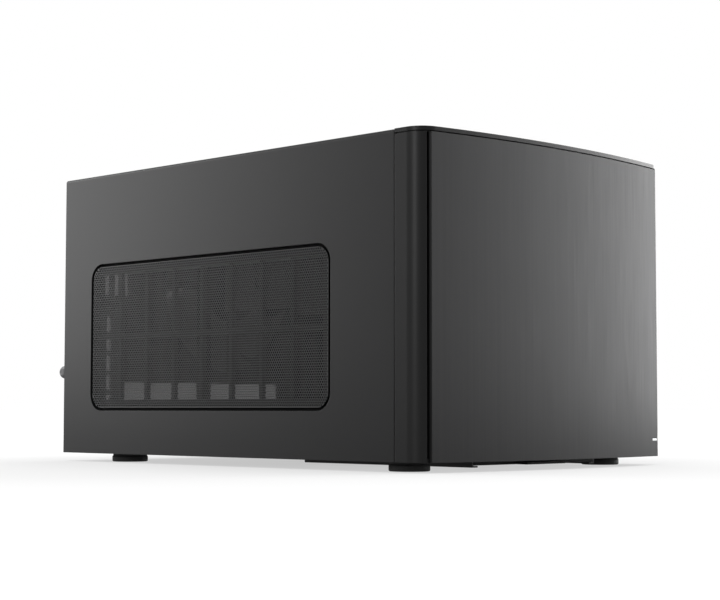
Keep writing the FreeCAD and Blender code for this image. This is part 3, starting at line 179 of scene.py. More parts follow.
def woven(name, colour, pitch, alpha):
    """Open nylon weave: two crossed sets of threads."""
    made, tree, skin = fresh(name)
    threads = []
    for direction in ("Y", "Z"):
        wave = add(tree, "ShaderNodeTexWave", wave_type="BANDS", bands_direction=direction)
        wave.inputs["Scale"].default_value = WAVE_TURN / pitch
        link(tree, place(tree), wave.inputs["Vector"])
        threads.append(wave.outputs["Fac"])
    cloth = add(tree, "ShaderNodeMath", operation="MAXIMUM")
    for socket, thread in zip(cloth.inputs, threads):
        link(tree, thread, socket)
    dyed = tinted(tree, cloth.outputs["Value"], shade(colour, WEAVE_DARK), shade(colour, WEAVE_LIGHT))
    link(tree, dyed, skin.inputs["Base Color"])
    link(tree, relief(tree, cloth.outputs["Value"], WEAVE_DEPTH, edge=0), skin.inputs["Normal"])
    skin.inputs["Roughness"].default_value = WEAVE_ROUGH
    skin.inputs["Alpha"].default_value = alpha
    return made


# Brushing: noise is stretched along the axis with the small share
UPRIGHT = (1, 1, 0.006)
ACROSS = (0.01, 1, 1)

# One finish for each material slot of the record
FINISH = {
    "cover_steel": coated("cover_paint", (0.010, 0.010, 0.0103), rough=0.40, grain=0.35 * MM,
                          depth=0.012 * MM, mottle=60 * MM, spread=0.05, specular=0.2),
    "mesh_steel": coated("mesh_paint", (0.037, 0.037, 0.0375), rough=0.42, grain=0.30 * MM,
                         depth=0.01 * MM, mottle=40 * MM, edge=0, specular=0.2),
    "chassis_steel": coated("chassis_paint", (0.030, 0.030, 0.031), rough=0.50, grain=0.35 * MM,
                            depth=0.012 * MM, mottle=40 * MM),
    "white_steel": coated("white_paint", (0.78, 0.78, 0.77), rough=0.42, grain=0.35 * MM,
                          depth=0.01 * MM, mottle=40 * MM),
    "fascia_aluminium": metal("anodised_aluminium", (0.036, 0.036, 0.0365), rough=0.44, streak=UPRIGHT,
                              spin=0.8),
    "bezel_plastic": coated("bezel_plastic", (0.008, 0.008, 0.0082), rough=0.38, grain=0.25 * MM,
                            depth=0.01 * MM, mottle=30 * MM, spread=0.05, specular=0.2),
    "filter_plastic": coated("filter_plastic", (0.008, 0.008, 0.0082), rough=0.55, grain=0.3 * MM,
                             depth=0.01 * MM, mottle=30 * MM, specular=0.2),
    "filter_media": woven("filter_weave", (0.005, 0.005, 0.0051), pitch=0.6 * MM, alpha=0.67),
    "fan_frame_plastic": coated("fan_frame_plastic", (0.022, 0.022, 0.023), rough=0.5, grain=0.3 * MM,
                                depth=0.01 * MM, mottle=30 * MM),
    "fan_rotor_plastic": coated("fan_rotor_plastic", (0.62, 0.62, 0.61), rough=0.38, grain=0.4 * MM,
                                depth=0.006 * MM, mottle=20 * MM),
    "screw_steel": metal("black_screw", (0.07, 0.07, 0.072), rough=0.38, streak=ACROSS),
    "standoff_brass": metal("brass", (0.62, 0.46, 0.20), rough=0.3, streak=UPRIGHT),
    "port_metal": metal("port_steel", (0.52, 0.52, 0.53), rough=0.3, streak=ACROSS),
    "port_plastic": coated("port_plastic", (0.018, 0.018, 0.019), rough=0.42, grain=0.2 * MM,
                           depth=0.008 * MM, mottle=20 * MM),
    "circuit_board": coated("solder_mask", (0.016, 0.07, 0.035), rough=0.35, grain=0.5 * MM,
                            depth=0.02 * MM, mottle=3 * MM),
    "light_lens": coated("milky_lens", (0.75, 0.78, 0.80), rough=0.3, grain=0.4 * MM,
                         depth=0.004 * MM, mottle=4 * MM, edge=0),
    "foot_rubber": coated("rubber", (0.022, 0.022, 0.022), rough=0.7, grain=0.5 * MM,
                          depth=0.03 * MM, mottle=15 * MM, edge=0.3 * MM),
}

# Painted shade: a near-black, nearly glossless coat on the rim and wall round the perforated fields, standing
# in for the shadow line in the groove
SEAM_PAINTED_SHADE = coated("painted_seam_shade", (0.003, 0.003, 0.0031), rough=0.7, grain=0.3 * MM, depth=0.01 * MM,
                    mottle=30 * MM, edge=0, specular=0.05)


def wear(thing, slot):
    """Give a piece the finish of a record's slot."""
    thing.data.materials.clear()
    thing.data.materials.append(FINISH[slot])


for part in frame["record"]["subparts"]:
    wear(frame["nodes"][part["node"]], part["material_slot"])


# Mesh helpers
def piece(name, work, slot, body=CASE, replaced=(), soft=30):
    """Put a finished mesh in the scene, on its body, smooth over edges up to an angle in degrees."""
    bmesh.ops.recalc_face_normals(work, faces=work.faces)
    mesh = bpy.data.meshes.new(name)
    work.to_mesh(mesh)
    work.free()
    if soft:
        mesh.shade_smooth()
        mesh.set_sharp_from_angle(angle=math.radians(soft))
    made = bpy.data.objects.new(name, mesh)
    bpy.context.scene.collection.objects.link(made)
    wear(made, slot)
    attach(made, body)
    if replaced:
        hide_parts(*replaced)
    return made


def at(axis, u, v, depth):
    """A point from two coordinates across an axis and one along it."""
    return {"x": (depth, u, v), "y": (u, depth, v), "z": (u, v, depth)}[axis]


def circle(u, v, radius, sides):
    return [(u + radius * math.cos(math.tau * turn / sides), v + radius * math.sin(math.tau * turn / sides))
            for turn in range(sides)]


def rounded(low, high, corner, steps=6):
    """Outline of a rectangle with round corners."""
    outline = []
    left, right = low[0] + corner, high[0] - corner
    lower, upper = low[1] + corner, high[1] - corner
    for quarter, (u, v) in enumerate(((right, upper), (left, upper), (left, lower), (right, lower))):
        for step in range(steps + 1):
            angle = math.pi / 2 * (quarter + step / steps)
            outline.append((u + corner * math.cos(angle), v + corner * math.sin(angle)))
    return outline


def ring(work, axis, outline, depth):
    return [work.verts.new(at(axis, u, v, depth)) for u, v in outline]


def closed(verts):
    return list(zip(verts, verts[1:] + verts[:1]))


def wall(work, lower, upper):
    """Faces between two rings of as many points."""
    for (a, b), (c, d) in zip(closed(lower), closed(upper)):
        work.faces.new((a, b, d, c))


def fill(work, *rings):
    """A flat face inside the first ring and outside the others."""
    edges = []
    for verts in rings:
        for pair in closed(verts):
            edges.append(work.edges.get(pair) or work.edges.new(pair))
    bmesh.ops.triangle_fill(work, use_beauty=True, edges=edges)


def plate(work, axis, outlines, low, high):
    """A flat plate between two depths: the first outline is its edge, the others are holes."""
    lower = [ring(work, axis, outline, low) for outline in outlines]
    upper = [ring(work, axis, outline, high) for outline in outlines]
    fill(work, *lower)
    fill(work, *upper)
    for pair in zip(lower, upper):
        wall(work, *pair)


def lathe(work, axis, centre, profile, sides, open_end=False):
    """A turned body from (radius, depth) points, closed at both ends or left open at the last ring."""
    rings = [ring(work, axis, circle(*centre, radius, sides), depth) for radius, depth in profile]
    for pair in zip(rings, rings[1:]):
        wall(work, *pair)
    work.faces.new(rings[0])
    if not open_end:
        work.faces.new(rings[-1])
    return rings[-1]


def crossed(u, v, reach, width):
    """Outline of an upright cross."""
    corners = (
        (width, width), (width, reach), (-width, reach), (-width, width),
        (-reach, width), (-reach, -width), (-width, -width), (-width, -reach),
        (width, -reach), (width, -width), (reach, -width), (reach, width),
    )
    return [(u + across, v + up) for across, up in corners]


# Arms of a driver recess, as shares of the radius that it lies in
CROSS_REACH = 0.62
CROSS_WIDTH = 0.15


def recessed(work, axis, rim, centre, radius, top, floor):
    """Close a screw's head with a crosswise driver recess."""
    outline = crossed(*centre, CROSS_REACH * radius, CROSS_WIDTH * radius)
    mouth = ring(work, axis, outline, top)
    fill(work, rim, mouth)
    deep = ring(work, axis, outline, floor)
    wall(work, mouth, deep)
    fill(work, deep)


PAN_HEAD = ((1.0, 0.0), (1.0, 0.4), (0.94, 0.72), (0.8, 0.92), (0.64, 1.0))  # shares of radius and height
PAN_FLOOR = 0.35  # floor of the recess, as a share of the head's height
PAN_SIDES = 32


def pan_screw(work, axis, centre, seat, way, head, height, shank, length):
    """A pan-head screw: its head rises from the seat along the way, its shank goes the other way."""
    profile = [(shank, seat - way * length), (shank, seat)]
    profile += [(wide * head, seat + way * tall * height) for wide, tall in PAN_HEAD]
    rim = lathe(work, axis, centre, profile, PAN_SIDES, open_end=True)
    flat = PAN_HEAD[-1][0] * head
    recessed(work, axis, rim, centre, flat, seat + way * height, seat + way * PAN_FLOOR * height)


# Perforated sheets: a pressed-out field of six-sided holes with a wall and a rim
MESH_PITCH = 2.01 * MM  # hole to hole in a row
MESH_RISE = 1.637 * MM  # row to row
MESH_HOLE = 0.86 * MM  # a hole's middle to its corners
HOLE_ANGLES = (30, 90, 150, 210, 270, 330)  # directions of those corners, in degrees
MESH_MARGIN = 0.25 * MM  # field's edge to the nearest hole's middle
MESH_SHEET = 0.3 * MM
MESH_INSET = 0.3 * MM  # field below the cover's face
VENT_RIM = 5 * MM  # sheet's edge to the vent's edge
VENT_GAP = 2.2 * MM  # vent's edge to the field
VENT_CORNER = 12 * MM
FIELD_BORDER = 2 * MESH_PITCH  # strip of the field that is cut to its outline
CUT_NEAR = 1e-8  # points this near a cut lie on it


def inside(y, z, low, high, corner):
    """Whether a point lies in a rectangle with round corners."""
    over_y = max(low[0] + corner - y, y - high[0] + corner, 0)
    over_z = max(low[1] + corner - z, z - high[1] + corner, 0)
    return math.hypot(over_y, over_z) <= corner


def staggered(work, x, low, high, corner, reach, shared):
    """A flat web round holes in staggered rows, over a range of columns along Y.

    Holes past the field's edge are closed. A column that another range has made already is shared: it gets
    no faces of its own.
    """
    rows = range(math.floor(low[1] / MESH_RISE) - 1, math.ceil(high[1] / MESH_RISE) + 2)
    steps = range(reach[0], reach[1] + 1)
    spokes = [math.radians(angle) for angle in HOLE_ANGLES]
    hole_low = [end + MESH_MARGIN for end in low]
    hole_high = [end - MESH_MARGIN for end in high]
    cells = {}
    for row in rows:
        for step in steps:
            y = (step + 0.5 * (row % 2)) * MESH_PITCH
            z = row * MESH_RISE
            corners = [work.verts.new((x, y + MESH_HOLE * math.cos(spoke), z + MESH_HOLE * math.sin(spoke)))
                       for spoke in spokes]
            cells[row, step] = corners
            if step != shared and not inside(y, z, hole_low, hole_high, corner - MESH_MARGIN):
                work.faces.new(corners)
    for (row, step), corners in cells.items():
        lean = row % 2
        ahead = cells.get((row, step + 1))
        right = cells.get((row + 1, step + lean))
        left = cells.get((row + 1, step + lean - 1))
        if ahead:
            work.faces.new((corners[0], corners[5], ahead[3], ahead[2]))
        if right and not step == step + lean == shared:
            work.faces.new((corners[1], corners[0], right[4], right[3]))
        if left and not step == step + lean - 1 == shared:
            work.faces.new((corners[2], corners[1], left[5], left[4]))
        if ahead and right:
            work.faces.new((corners[0], ahead[2], right[4]))
        if right and left:
            work.faces.new((corners[1], right[3], left[5]))


def trimmed(work, x, low, high, corner):
    """Cut a flat web to the outline of its field."""
    deep_low = [end + FIELD_BORDER for end in low]
    deep_high = [end - FIELD_BORDER for end in high]
    border = [face for face in work.faces
              if not inside(*face.calc_center_median().yz, deep_low, deep_high, corner - FIELD_BORDER)]
    touched = []
    for face in border:
        touched += [face, *face.edges, *face.verts]
    edge = list(dict.fromkeys(touched))  # each once, in a fixed order
    for (y, z), (next_y, next_z) in closed(rounded(low, high, corner)):
        result = bmesh.ops.bisect_plane(work, geom=edge, dist=CUT_NEAR, plane_co=(x, y, z),
                                        plane_no=(0, next_z - z, y - next_y), clear_outer=True)
        edge = [item for item in result["geom"] if item.is_valid]
    loose = [vert for vert in work.verts if not vert.link_faces]
    bmesh.ops.delete(work, geom=loose, context="VERTS")


def thickened(work, depth):
    """Give a flat web a back face at a depth along X, and the walls between."""
    front = work.faces[:]
    sides = [line.verts[:] for line in work.edges if line.is_boundary]
    through = Vector((depth, 0, 0))
    behind = {vert: work.verts.new(vert.co + through) for vert in work.verts[:]}
    for face in front:
        work.faces.new([behind[vert] for vert in face.verts])
    for start, end in sides:
        work.faces.new((start, end, behind[end], behind[start]))


cover_low, cover_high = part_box("outer_cover")


def vent_sheet(node, name, way):
    """A whole perforated sheet, in three pieces. The way is the one along X into the case."""
    low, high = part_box(node)
    lip_x, back_x = (low.x, high.x) if way > 0 else (high.x, low.x)
    face_x = (cover_low.x if way > 0 else cover_high.x) + way * MESH_INSET
    inner_x = face_x + way * MESH_SHEET
    inward = VENT_RIM + VENT_GAP
    field_low = (low.y + inward, low.z + inward)
    field_high = (high.y - inward, high.z - inward)
    corner = VENT_CORNER - VENT_GAP
    rim_edge = [(low.y, low.z), (high.y, low.z), (high.y, high.z), (low.y, high.z)]
    field_edge = rounded(field_low, field_high, corner)
    wall_edge = rounded([end + MESH_SHEET for end in field_low], [end - MESH_SHEET for end in field_high],
                        corner - MESH_SHEET)
    pan = bmesh.new()
    plate(pan, "x", [rim_edge, wall_edge], back_x, lip_x)
    plate(pan, "x", [field_edge, wall_edge], lip_x, inner_x)
    rim = piece(name + "_rim", pan, "mesh_steel", replaced=[node], soft=0)
    # painted shade: the rim and its wall take the near-black coat in place of the mesh paint
    rim.data.materials[0] = SEAM_PAINTED_SHADE
    first = math.floor(field_low[0] / MESH_PITCH) - 1
    last = math.ceil(field_high[0] / MESH_PITCH) + 1
    halfway = (first + last) // 2
    for half, reach, shared in (("front", (first, halfway), None), ("rear", (halfway, last), halfway)):
        field = bmesh.new()
        staggered(field, face_x, field_low, field_high, corner, reach, shared)
        trimmed(field, face_x, field_low, field_high, corner)
        thickened(field, inner_x - face_x)
        piece(f"{name}_field_{half}", field, "mesh_steel", soft=0)


vent_sheet("side_vent_mesh", "side_perforated", 1)
vent_sheet("psu_vent_mesh", "psu_perforated", -1)

# Side filter: a frame with slim bars in two rows of windows
FILTER_BAR = 3.2 * MM
FILTER_FRONT = 7 * MM  # vent's front end to the first bar
FILTER_REAR = 2.2 * MM  # the last bar past the vent's rear end
FILTER_EDGE = 4.6 * MM  # vent's long edges to the bars
FILTER_CORNER = 0.8 * MM
FILTER_STEPS = 2  # facets of that corner
FILTER_COLUMNS = 8
FILTER_ROWS = 2
filter_low, filter_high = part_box("side_filter_frame")
bars_low = (filter_low.y + VENT_RIM + FILTER_FRONT, filter_low.z + VENT_RIM + FILTER_EDGE)
bars_high = (filter_high.y - VENT_RIM + FILTER_REAR, filter_high.z - VENT_RIM - FILTER_EDGE)
bay_steps = [(bars_high[axis] - bars_low[axis] - FILTER_BAR) / count
             for axis, count in enumerate((FILTER_COLUMNS, FILTER_ROWS))]
panes = []
for column in range(FILTER_COLUMNS):
    for row in range(FILTER_ROWS):
        cell = (column, row)
        pane_low = [bars_low[axis] + FILTER_BAR + cell[axis] * bay_steps[axis] for axis in range(2)]
        pane_high = [pane_low[axis] + bay_steps[axis] - FILTER_BAR for axis in range(2)]
        panes.append(rounded(pane_low, pane_high, FILTER_CORNER, FILTER_STEPS))
grid = bmesh.new()
grid_edge = rounded((filter_low.y, filter_low.z), (filter_high.y, filter_high.z), FILTER_CORNER,
                    FILTER_STEPS)
plate(grid, "x", [grid_edge, *panes], filter_low.x, filter_high.x)
piece("side_filter_grid", grid, "filter_plastic", replaced=["side_filter_frame"])

# Fans: a ducted frame with a motor seat on four arms, and a rotor with swept blades
FAN_FLANGE = 4 * MM
FAN_CORNER = 5 * MM
FAN_WALL = 2.2 * MM
FAN_TUBE = 0.8 * FAN_WALL  # wall of the tube between the flanges
FAN_SCREW = 2.15 * MM  # radius of a screw hole
FAN_PLATE = 3 * MM  # thickness of the motor seat and its arms
FAN_ARMS = 4
FAN_ARM = 6 * MM  # width of an arm
ARM_START = 0.98  # inner end of an arm, as a share of the motor seat's radius
FAN_STUB = 3.5 * MM  # shaft outside the hub
SHAFT = 1.5 * MM  # radius
BEARING = 1.6 * MM  # radius
TIP_GAP = 1.0 * MM  # blades to the duct
HUB_ROUND = 2 * MM
HUB_STEPS = 5
HUB_DISH = ((0.78, 0.0), (0.77, 0.5 * MM), (0.1, 0.5 * MM))  # shares of the hub's radius, and depths
BLADES = 7
BLADE_RISE = 7 * MM
BLADE_THICK = 1.5 * MM
BLADE_SINK = 1 * MM  # root inside the hub
BLADE_TAPER = 0.6  # share of the thickness lost at a blade's edges
BLADE_FLATTEN = 0.3  # share of the pitch lost at its tip
BLADE_CAMBER = 0.18
BLADE_SPREAD = 0.37  # radians each way from a blade's middle
BLADE_SWEEP = 0.3
BLADE_ROWS = 10
BLADE_STEPS = 9
DUCT_SIDES = 96
HUB_SIDES = 64
FAN_HOLE_SIDES = 24
BEARING_SIDES = 16


def middle_of(node):
    """The middle of a node, seen along Y."""
    low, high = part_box(node)
    return (low.x + high.x) / 2, (low.z + high.z) / 2


def screw_holes(middle, pitch):
    """The places of a fan's four screws."""
    return [(middle[0] + across * pitch / 2, middle[1] + up * pitch / 2)
            for across in (-1, 1) for up in (-1, 1)]


def fan_frame(name, node, hub, hole, motor):
    """The fixed part of a fan. Its motor seat lies at its near or its far face along Y."""
    low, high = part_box(node)
    middle = middle_of(node)
    bore = (high.x - low.x) / 2 - FAN_WALL
    duct = circle(*middle, bore, DUCT_SIDES)
    square = rounded((low.x, low.z), (high.x, high.z), FAN_CORNER)
    holes = [circle(*spot, FAN_SCREW, FAN_HOLE_SIDES) for spot in screw_holes(middle, hole)]
    work = bmesh.new()
    plate(work, "y", [square, duct, *holes], low.y, low.y + FAN_FLANGE)
    plate(work, "y", [square, duct, *holes], high.y - FAN_FLANGE, high.y)
    tube = circle(*middle, bore + FAN_TUBE, DUCT_SIDES)
    plate(work, "y", [tube, duct], low.y + FAN_FLANGE, high.y - FAN_FLANGE)
    seat = low.y if motor == "near" else high.y - FAN_PLATE
    disc = circle(*middle, hub, HUB_SIDES)
    bearing = circle(*middle, BEARING, BEARING_SIDES)
    plate(work, "y", [disc, bearing], seat, seat + FAN_PLATE)
    for turn in range(FAN_ARMS):
        angle = math.tau * turn / FAN_ARMS
        along = (math.cos(angle), math.sin(angle))
        side = (-along[1] * FAN_ARM / 2, along[0] * FAN_ARM / 2)
        inner = [middle[axis] + ARM_START * hub * along[axis] for axis in range(2)]
        outer = [middle[axis] + (bore + FAN_WALL / 2) * along[axis] for axis in range(2)]
        arm = [(inner[0] - side[0], inner[1] - side[1]), (outer[0] - side[0], outer[1] - side[1]),
               (outer[0] + side[0], outer[1] + side[1]), (inner[0] + side[0], inner[1] + side[1])]
        plate(work, "y", [arm], seat, seat + FAN_PLATE)
    piece(name, work, "fan_frame_plastic", replaced=[node])


def edge_of(rows):
    """The outer points of a grid of points, once round."""
    ahead = [line[-1] for line in rows[1:]]
    back = [line[0] for line in rows[-2:0:-1]]
    return rows[0] + ahead + rows[-1][-2::-1] + back


def fan_rotor(name, node, frame_node, body, hub, motor):
    """The turning part of a fan: a hub with a rounded face, a shaft and swept blades."""
    low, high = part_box(node)
    box_low, box_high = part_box(frame_node)
    middle = middle_of(frame_node)
    tip = (box_high.x - box_low.x) / 2 - FAN_WALL - TIP_GAP
    if motor == "near":
        back, front, stub, way = low.y + FAN_STUB, high.y, low.y, 1
    else:
        back, front, stub, way = high.y - FAN_STUB, low.y, high.y, -1
    work = bmesh.new()
    profile = [(SHAFT, stub), (SHAFT, back), (hub, back), (hub, front - way * HUB_ROUND)]
    for step in range(1, HUB_STEPS + 1):
        angle = math.pi / 2 * step / HUB_STEPS
        radius = hub - HUB_ROUND * (1 - math.cos(angle))
        profile.append((radius, front - way * HUB_ROUND * (1 - math.sin(angle))))
    profile += [(share * hub, front - way * deep) for share, deep in HUB_DISH]
    lathe(work, "y", middle, profile, HUB_SIDES)
    depth = (back + front) / 2
    lift = way if motor == "near" else -way
    for blade in range(BLADES):
        sheets = []
        for face in (-1, 1):
            rows = []
            for row in range(BLADE_ROWS):
                out = row / (BLADE_ROWS - 1)
                radius = hub - BLADE_SINK + out * (tip - hub + BLADE_SINK)
                line = []
                for step in range(BLADE_STEPS):
                    along = 2 * step / (BLADE_STEPS - 1) - 1
                    bulge = 1 - along * along
                    angle = math.tau * blade / BLADES + BLADE_SWEEP * out * out + BLADE_SPREAD * along
                    thick = BLADE_THICK * (1 - BLADE_TAPER * along * along) / 2
                    rise = BLADE_RISE * (1 - BLADE_FLATTEN * out) * (along + BLADE_CAMBER * bulge)
                    u = middle[0] + radius * math.cos(angle)
                    v = middle[1] + radius * math.sin(angle)
                    line.append(work.verts.new(at("y", u, v, depth - lift * rise + face * thick)))
                rows.append(line)
            for line, beyond in zip(rows, rows[1:]):
                for step in range(BLADE_STEPS - 1):
                    work.faces.new((line[step], line[step + 1], beyond[step + 1], beyond[step]))
            sheets.append(rows)
        wall(work, edge_of(sheets[0]), edge_of(sheets[1]))
    piece(name, work, "fan_rotor_plastic", body=body, replaced=[node], soft=40)


# Name, body, hub radius, screw spacing and motor end of each fan
FANS = (
    ("front_fan_left", "front_left_rotor", 17.5 * MM, 82.5 * MM, "far"),
    ("front_fan_right", "front_right_rotor", 17.5 * MM, 82.5 * MM, "far"),
    ("rear_fan", "rear_rotor", 26.6 * MM, 124.5 * MM, "near"),
)
screw_spots = {}
for fan_name, fan_body, hub_radius, hole_pitch, motor_end in FANS:
    fan_frame(f"{fan_name}_duct", f"{fan_name}_frame", hub_radius, hole_pitch, motor_end)
    fan_rotor(f"{fan_name}_blades", f"{fan_name}_rotor", f"{fan_name}_frame", fan_body, hub_radius, motor_end)
    screw_spots[fan_name] = screw_holes(middle_of(f"{fan_name}_frame"), hole_pitch)

# Screws with round heads and crosswise recesses
SCREW_SHANK = 1.7 * MM  # radius
FAN_HEAD = 3.9 * MM  # radius
SMALL_HEAD = 2.75 * MM  # radius
HEAD_RISE = 1.5 * MM
SLOT_SCREW = 2.9 * MM  # half the width of a slot screw's solid head


def screws(name, node, axis, spots, seat, way, head, length):
    """A set of like screws that stands for one node."""
    work = bmesh.new()
    for spot in spots:
        pan_screw(work, axis, spot, seat, way, head, HEAD_RISE, SCREW_SHANK, length)
    piece(name, work, "screw_steel", replaced=[node])


screw_low, screw_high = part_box("rear_fan_screws")
screws("rear_fan_pan_screws", "rear_fan_screws", "y", screw_spots["rear_fan"], screw_high.y - HEAD_RISE, 1,
       FAN_HEAD, screw_high.y - HEAD_RISE - screw_low.y)
screw_low, screw_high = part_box("front_fan_screws")
front_spots = screw_spots["front_fan_left"] + screw_spots["front_fan_right"]
screws("front_fan_pan_screws", "front_fan_screws", "y", front_spots, screw_low.y + HEAD_RISE, -1, FAN_HEAD,
       screw_high.y - screw_low.y - HEAD_RISE)
screw_low, screw_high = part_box("slot_screws")
slot_y = (screw_low.y + screw_high.y) / 2
slot_spots = [(screw_low.x + SLOT_SCREW, slot_y), (screw_high.x - SLOT_SCREW, slot_y)]
screws("slot_pan_screws", "slot_screws", "z", slot_spots, screw_high.z - HEAD_RISE, 1, SMALL_HEAD,
       screw_high.z - HEAD_RISE - screw_low.z)

# Thumbscrews: knurled heads on the cover's folds
THUMB_HEAD = 4.66 * MM  # radius
THUMB_SHANK = 1.4 * MM  # radius
THUMB_SPOTS = ((-120, 66), (120, 66), (-90, 205), (95, 205))  # across and up, in millimetres
THUMB_TEETH = 40
THUMB_SIDES = 16
THUMB_RECESS = 0.72  # circle of the recess, as a share of the head's radius
THUMB_FLOOR = 0.6  # floor of the recess, as a share of the head's length

# Rings of a head: root and crest as shares of its radius, and the place as a share of its length
THUMB_RINGS = (
    (0.86, 0.86, 0.0),
    (0.86, 0.86, 0.10),
    (0.92, 0.92, 0.10),
    (0.94, 1.0, 0.22),
    (0.94, 1.0, 0.84),
    (0.90, 0.90, 0.94),
    (0.80, 0.80, 1.0),
)
thumb_low, thumb_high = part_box("cover_thumbscrews")
thumb_seat = cover_high.y
thumb_long = thumb_high.y - thumb_seat
thumbs = bmesh.new()


def knurl(centre, depth, root, crest):
    """A toothed ring round a head."""
    teeth = []
    for tooth in range(2 * THUMB_TEETH):
        angle = math.tau * tooth / (2 * THUMB_TEETH)
        radius = crest if tooth % 2 else root
        teeth.append((centre[0] + radius * math.cos(angle), centre[1] + radius * math.sin(angle)))
    return ring(thumbs, "y", teeth, depth)


for spot in THUMB_SPOTS:
    centre = tuple(part * MM for part in spot)
    rings = [knurl(centre, thumb_seat + share * thumb_long, root * THUMB_HEAD, crest * THUMB_HEAD)
             for root, crest, share in THUMB_RINGS]
    for pair in zip(rings, rings[1:]):
        wall(thumbs, *pair)
    thumbs.faces.new(rings[0])
    recessed(thumbs, "y", rings[-1], centre, THUMB_RECESS * THUMB_HEAD, thumb_high.y,
             thumb_seat + THUMB_FLOOR * thumb_long)
    lathe(thumbs, "y", centre, [(THUMB_SHANK, thumb_low.y), (THUMB_SHANK, thumb_seat)], THUMB_SIDES)
piece("knurled_thumbscrews", thumbs, "screw_steel", replaced=["cover_thumbscrews"])

# Feet: turned rubber with a hollow sole and a narrower neck
FOOT = 13 * MM  # radius
FOOT_SIDES = 64

# Radius as a share of the foot's, and height above the floor
FOOT_PROFILE = (
    (0.35, 0.6 * MM),
    (0.62, 0.6 * MM),
    (0.66, 0.0),
    (0.94, 0.0),
    (0.98, 0.25 * MM),
    (1.0, 0.8 * MM),
    (1.0, 3.6 * MM),
    (0.985, 4.1 * MM),
    (0.95, 4.4 * MM),
)
foot_low, foot_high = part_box("feet")
foot_shape = [(share * FOOT, rise) for share, rise in FOOT_PROFILE]
foot_shape.append((foot_shape[-1][0], foot_high.z))
feet = bmesh.new()
for foot_x in (foot_low.x + FOOT, foot_high.x - FOOT):
    for foot_y in (foot_low.y + FOOT, foot_high.y - FOOT):
        lathe(feet, "z", (foot_x, foot_y), foot_shape, FOOT_SIDES)
piece("turned_feet", feet, "foot_rubber", replaced=["feet"], soft=40)


# Floor, world and lamps
def seen(tree, mirrored):
    """1 for rays that show the background, less for its mirror image, 0 for rays that light the case."""
    path = add(tree, "ShaderNodeLightPath")
    total = path.outputs["Is Camera Ray"]
    for kind, share in (("Is Glossy Ray", mirrored), ("Is Transmission Ray", 1.0)):
        part = add(tree, "ShaderNodeMath", operation="MULTIPLY")
        link(tree, path.outputs[kind], part.inputs[0])
        part.inputs[1].default_value = share
        summed = add(tree, "ShaderNodeMath", operation="MAXIMUM")
        link(tree, total, summed.inputs[0])
        link(tree, part.outputs["Value"], summed.inputs[1])
        total = summed.outputs["Value"]
    return total


FLOOR_REACH = 60.0  # metres each way
FLOOR_SHADE = 0.25  # paint under the lamps
FLOOR_GLOW = 0.92  # far from the case
FLOOR_DIM = 0.4  # painted shade: less glow close by, so the floor round the case and its image in the case's gloss read darker
FLOOR_FADE = 1.3  # metres from the middle to the full glow
FLOOR_MIRRORED = 0.5  # share of the glow in the case's gloss


def pale_floor():
    """A wide matt floor that shows as white background and keeps the case's shadow; its glow is dimmed near
    the case, a painted shade round it.
    """
    corners = [(x * FLOOR_REACH, y * FLOOR_REACH, 0) for x, y in ((-1, -1), (1, -1), (1, 1), (-1, 1))]
    mesh = bpy.data.meshes.new("floor")
    mesh.from_pydata(corners, [], [(0, 1, 2, 3)])
    floor = bpy.data.objects.new("floor", mesh)
    bpy.context.scene.collection.objects.link(floor)
    paint = bpy.data.materials.new("pale_floor")
    paint.use_nodes = True
    tree = paint.node_tree
    tree.nodes.clear()
    matt = add(tree, "ShaderNodeBsdfDiffuse")
    matt.inputs["Color"].default_value = (FLOOR_SHADE, FLOOR_SHADE, FLOOR_SHADE, 1)
    nearness = add(tree, "ShaderNodeTexGradient", gradient_type="SPHERICAL")
    link(tree, place(tree, (1 / FLOOR_FADE, 1 / FLOOR_FADE, 1)), nearness.inputs["Vector"])
    # painted shade: the glow is dimmed towards the case
    dimmed = add(tree, "ShaderNodeMapRange")
    dimmed.inputs["To Min"].default_value = FLOOR_GLOW
    dimmed.inputs["To Max"].default_value = FLOOR_GLOW - FLOOR_DIM
    link(tree, nearness.outputs["Fac"], dimmed.inputs["Value"])
    level = add(tree, "ShaderNodeMath", operation="MULTIPLY")
    link(tree, seen(tree, FLOOR_MIRRORED), level.inputs[0])
    link(tree, dimmed.outputs["Result"], level.inputs[1])
    glow = add(tree, "ShaderNodeEmission")
    link(tree, level.outputs["Value"], glow.inputs["Strength"])
    both = add(tree, "ShaderNodeAddShader")
    link(tree, matt.outputs["BSDF"], both.inputs[0])
    link(tree, glow.outputs["Emission"], both.inputs[1])
    out = add(tree, "ShaderNodeOutputMaterial")
    link(tree, both.outputs["Shader"], out.inputs["Surface"])
    mesh.materials.append(paint)


pale_floor()

AMBIENT = 0.45  # light from all round
MIRRORED = 0.35  # share of the white surroundings in the case's gloss
world = bpy.data.worlds.new("studio")
bpy.context.scene.world = world
world.use_nodes = True
sky_tree = world.node_tree
sky = sky_tree.nodes["Background"]
sky.inputs["Color"].default_value = (1, 1, 1, 1)
sky_level = add(sky_tree, "ShaderNodeMapRange")
sky_level.inputs["To Min"].default_value = AMBIENT
sky_level.inputs["To Max"].default_value = 1.0
link(sky_tree, seen(sky_tree, MIRRORED), sky_level.inputs["Value"])
link(sky_tree, sky_level.outputs["Result"], sky.inputs["Strength"])


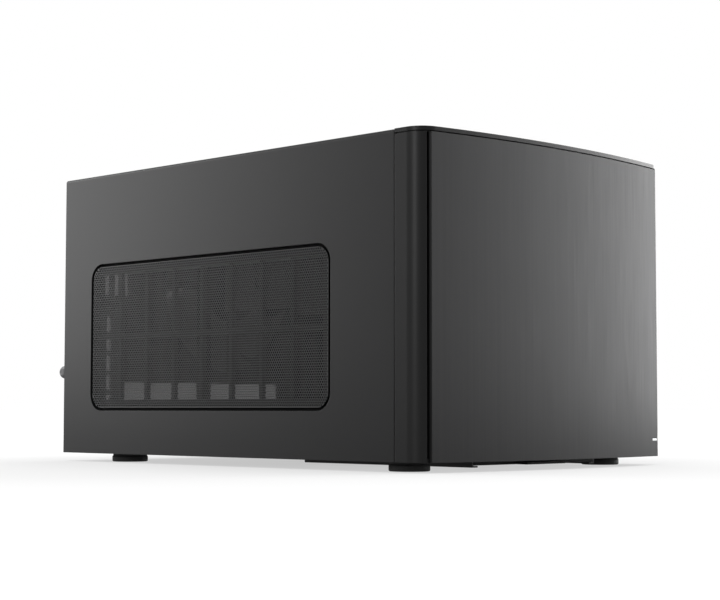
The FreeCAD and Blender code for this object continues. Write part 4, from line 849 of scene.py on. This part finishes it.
def softbox(name, spot, target, wide, tall, power):
    """A large area lamp that faces a point."""
    lamp = bpy.data.lights.new(name, "AREA")
    lamp.shape = "RECTANGLE"
    lamp.size = wide
    lamp.size_y = tall
    lamp.energy = power
    held = bpy.data.objects.new(name, lamp)
    held.location = spot
    held.rotation_mode = "QUATERNION"
    held.rotation_quaternion = (Vector(target) - Vector(spot)).to_track_quat("-Z", "Y")
    bpy.context.scene.collection.objects.link(held)


MIDDLE = (0, 0, 0.105)  # of the case, in metres

# Name, place, width and height in metres, and power in watts of each lamp
LAMPS = (
    ("left_rear_box", (-0.44, 0.82, 0.40), 0.6, 0.7, 5.5),
    ("right_box", (1.6, -0.25, 0.58), 1.3, 1.2, 39),
    ("front_right_box", (1.30, -1.20, 0.60), 1.2, 1.2, 13),
    ("left_strip", (-1.6, -0.3, 0.7), 0.3, 1.0, 9),
    ("roof_box", (0.0, 0.0, 1.8), 1.6, 1.6, 18),
)
for lamp_name, lamp_spot, lamp_wide, lamp_tall, lamp_power in LAMPS:
    softbox(lamp_name, lamp_spot, MIDDLE, lamp_wide, lamp_tall, lamp_power)

# Camera at the photograph's place
CAMERA_SPOT = (-0.8715, -0.8680, 0.0378)
CAMERA_YAW = math.radians(45.257)
CAMERA_PITCH = math.radians(3.714)
CAMERA_ROLL = math.radians(0.061)
FOCAL_PIXELS = 1696.9
PHOTO_WIDTH = 720
SENSOR = 36.0  # millimetres
NEAREST = 0.01  # closer things are clipped
lens = bpy.data.cameras.new("camera")
lens.sensor_width = SENSOR
lens.lens = FOCAL_PIXELS * SENSOR / PHOTO_WIDTH
lens.clip_start = NEAREST
camera = bpy.data.objects.new("camera", lens)
camera.matrix_world = (
    Matrix.Translation(CAMERA_SPOT)
    @ Matrix.Rotation(-CAMERA_YAW, 4, "Z")
    @ Matrix.Rotation(math.pi / 2 + CAMERA_PITCH, 4, "X")
    @ Matrix.Rotation(CAMERA_ROLL, 4, "Z")
)
bpy.context.scene.collection.objects.link(camera)
bpy.context.scene.camera = camera
bpy.context.scene.view_settings.view_transform = "Standard"

bpy.context.view_layer.update()
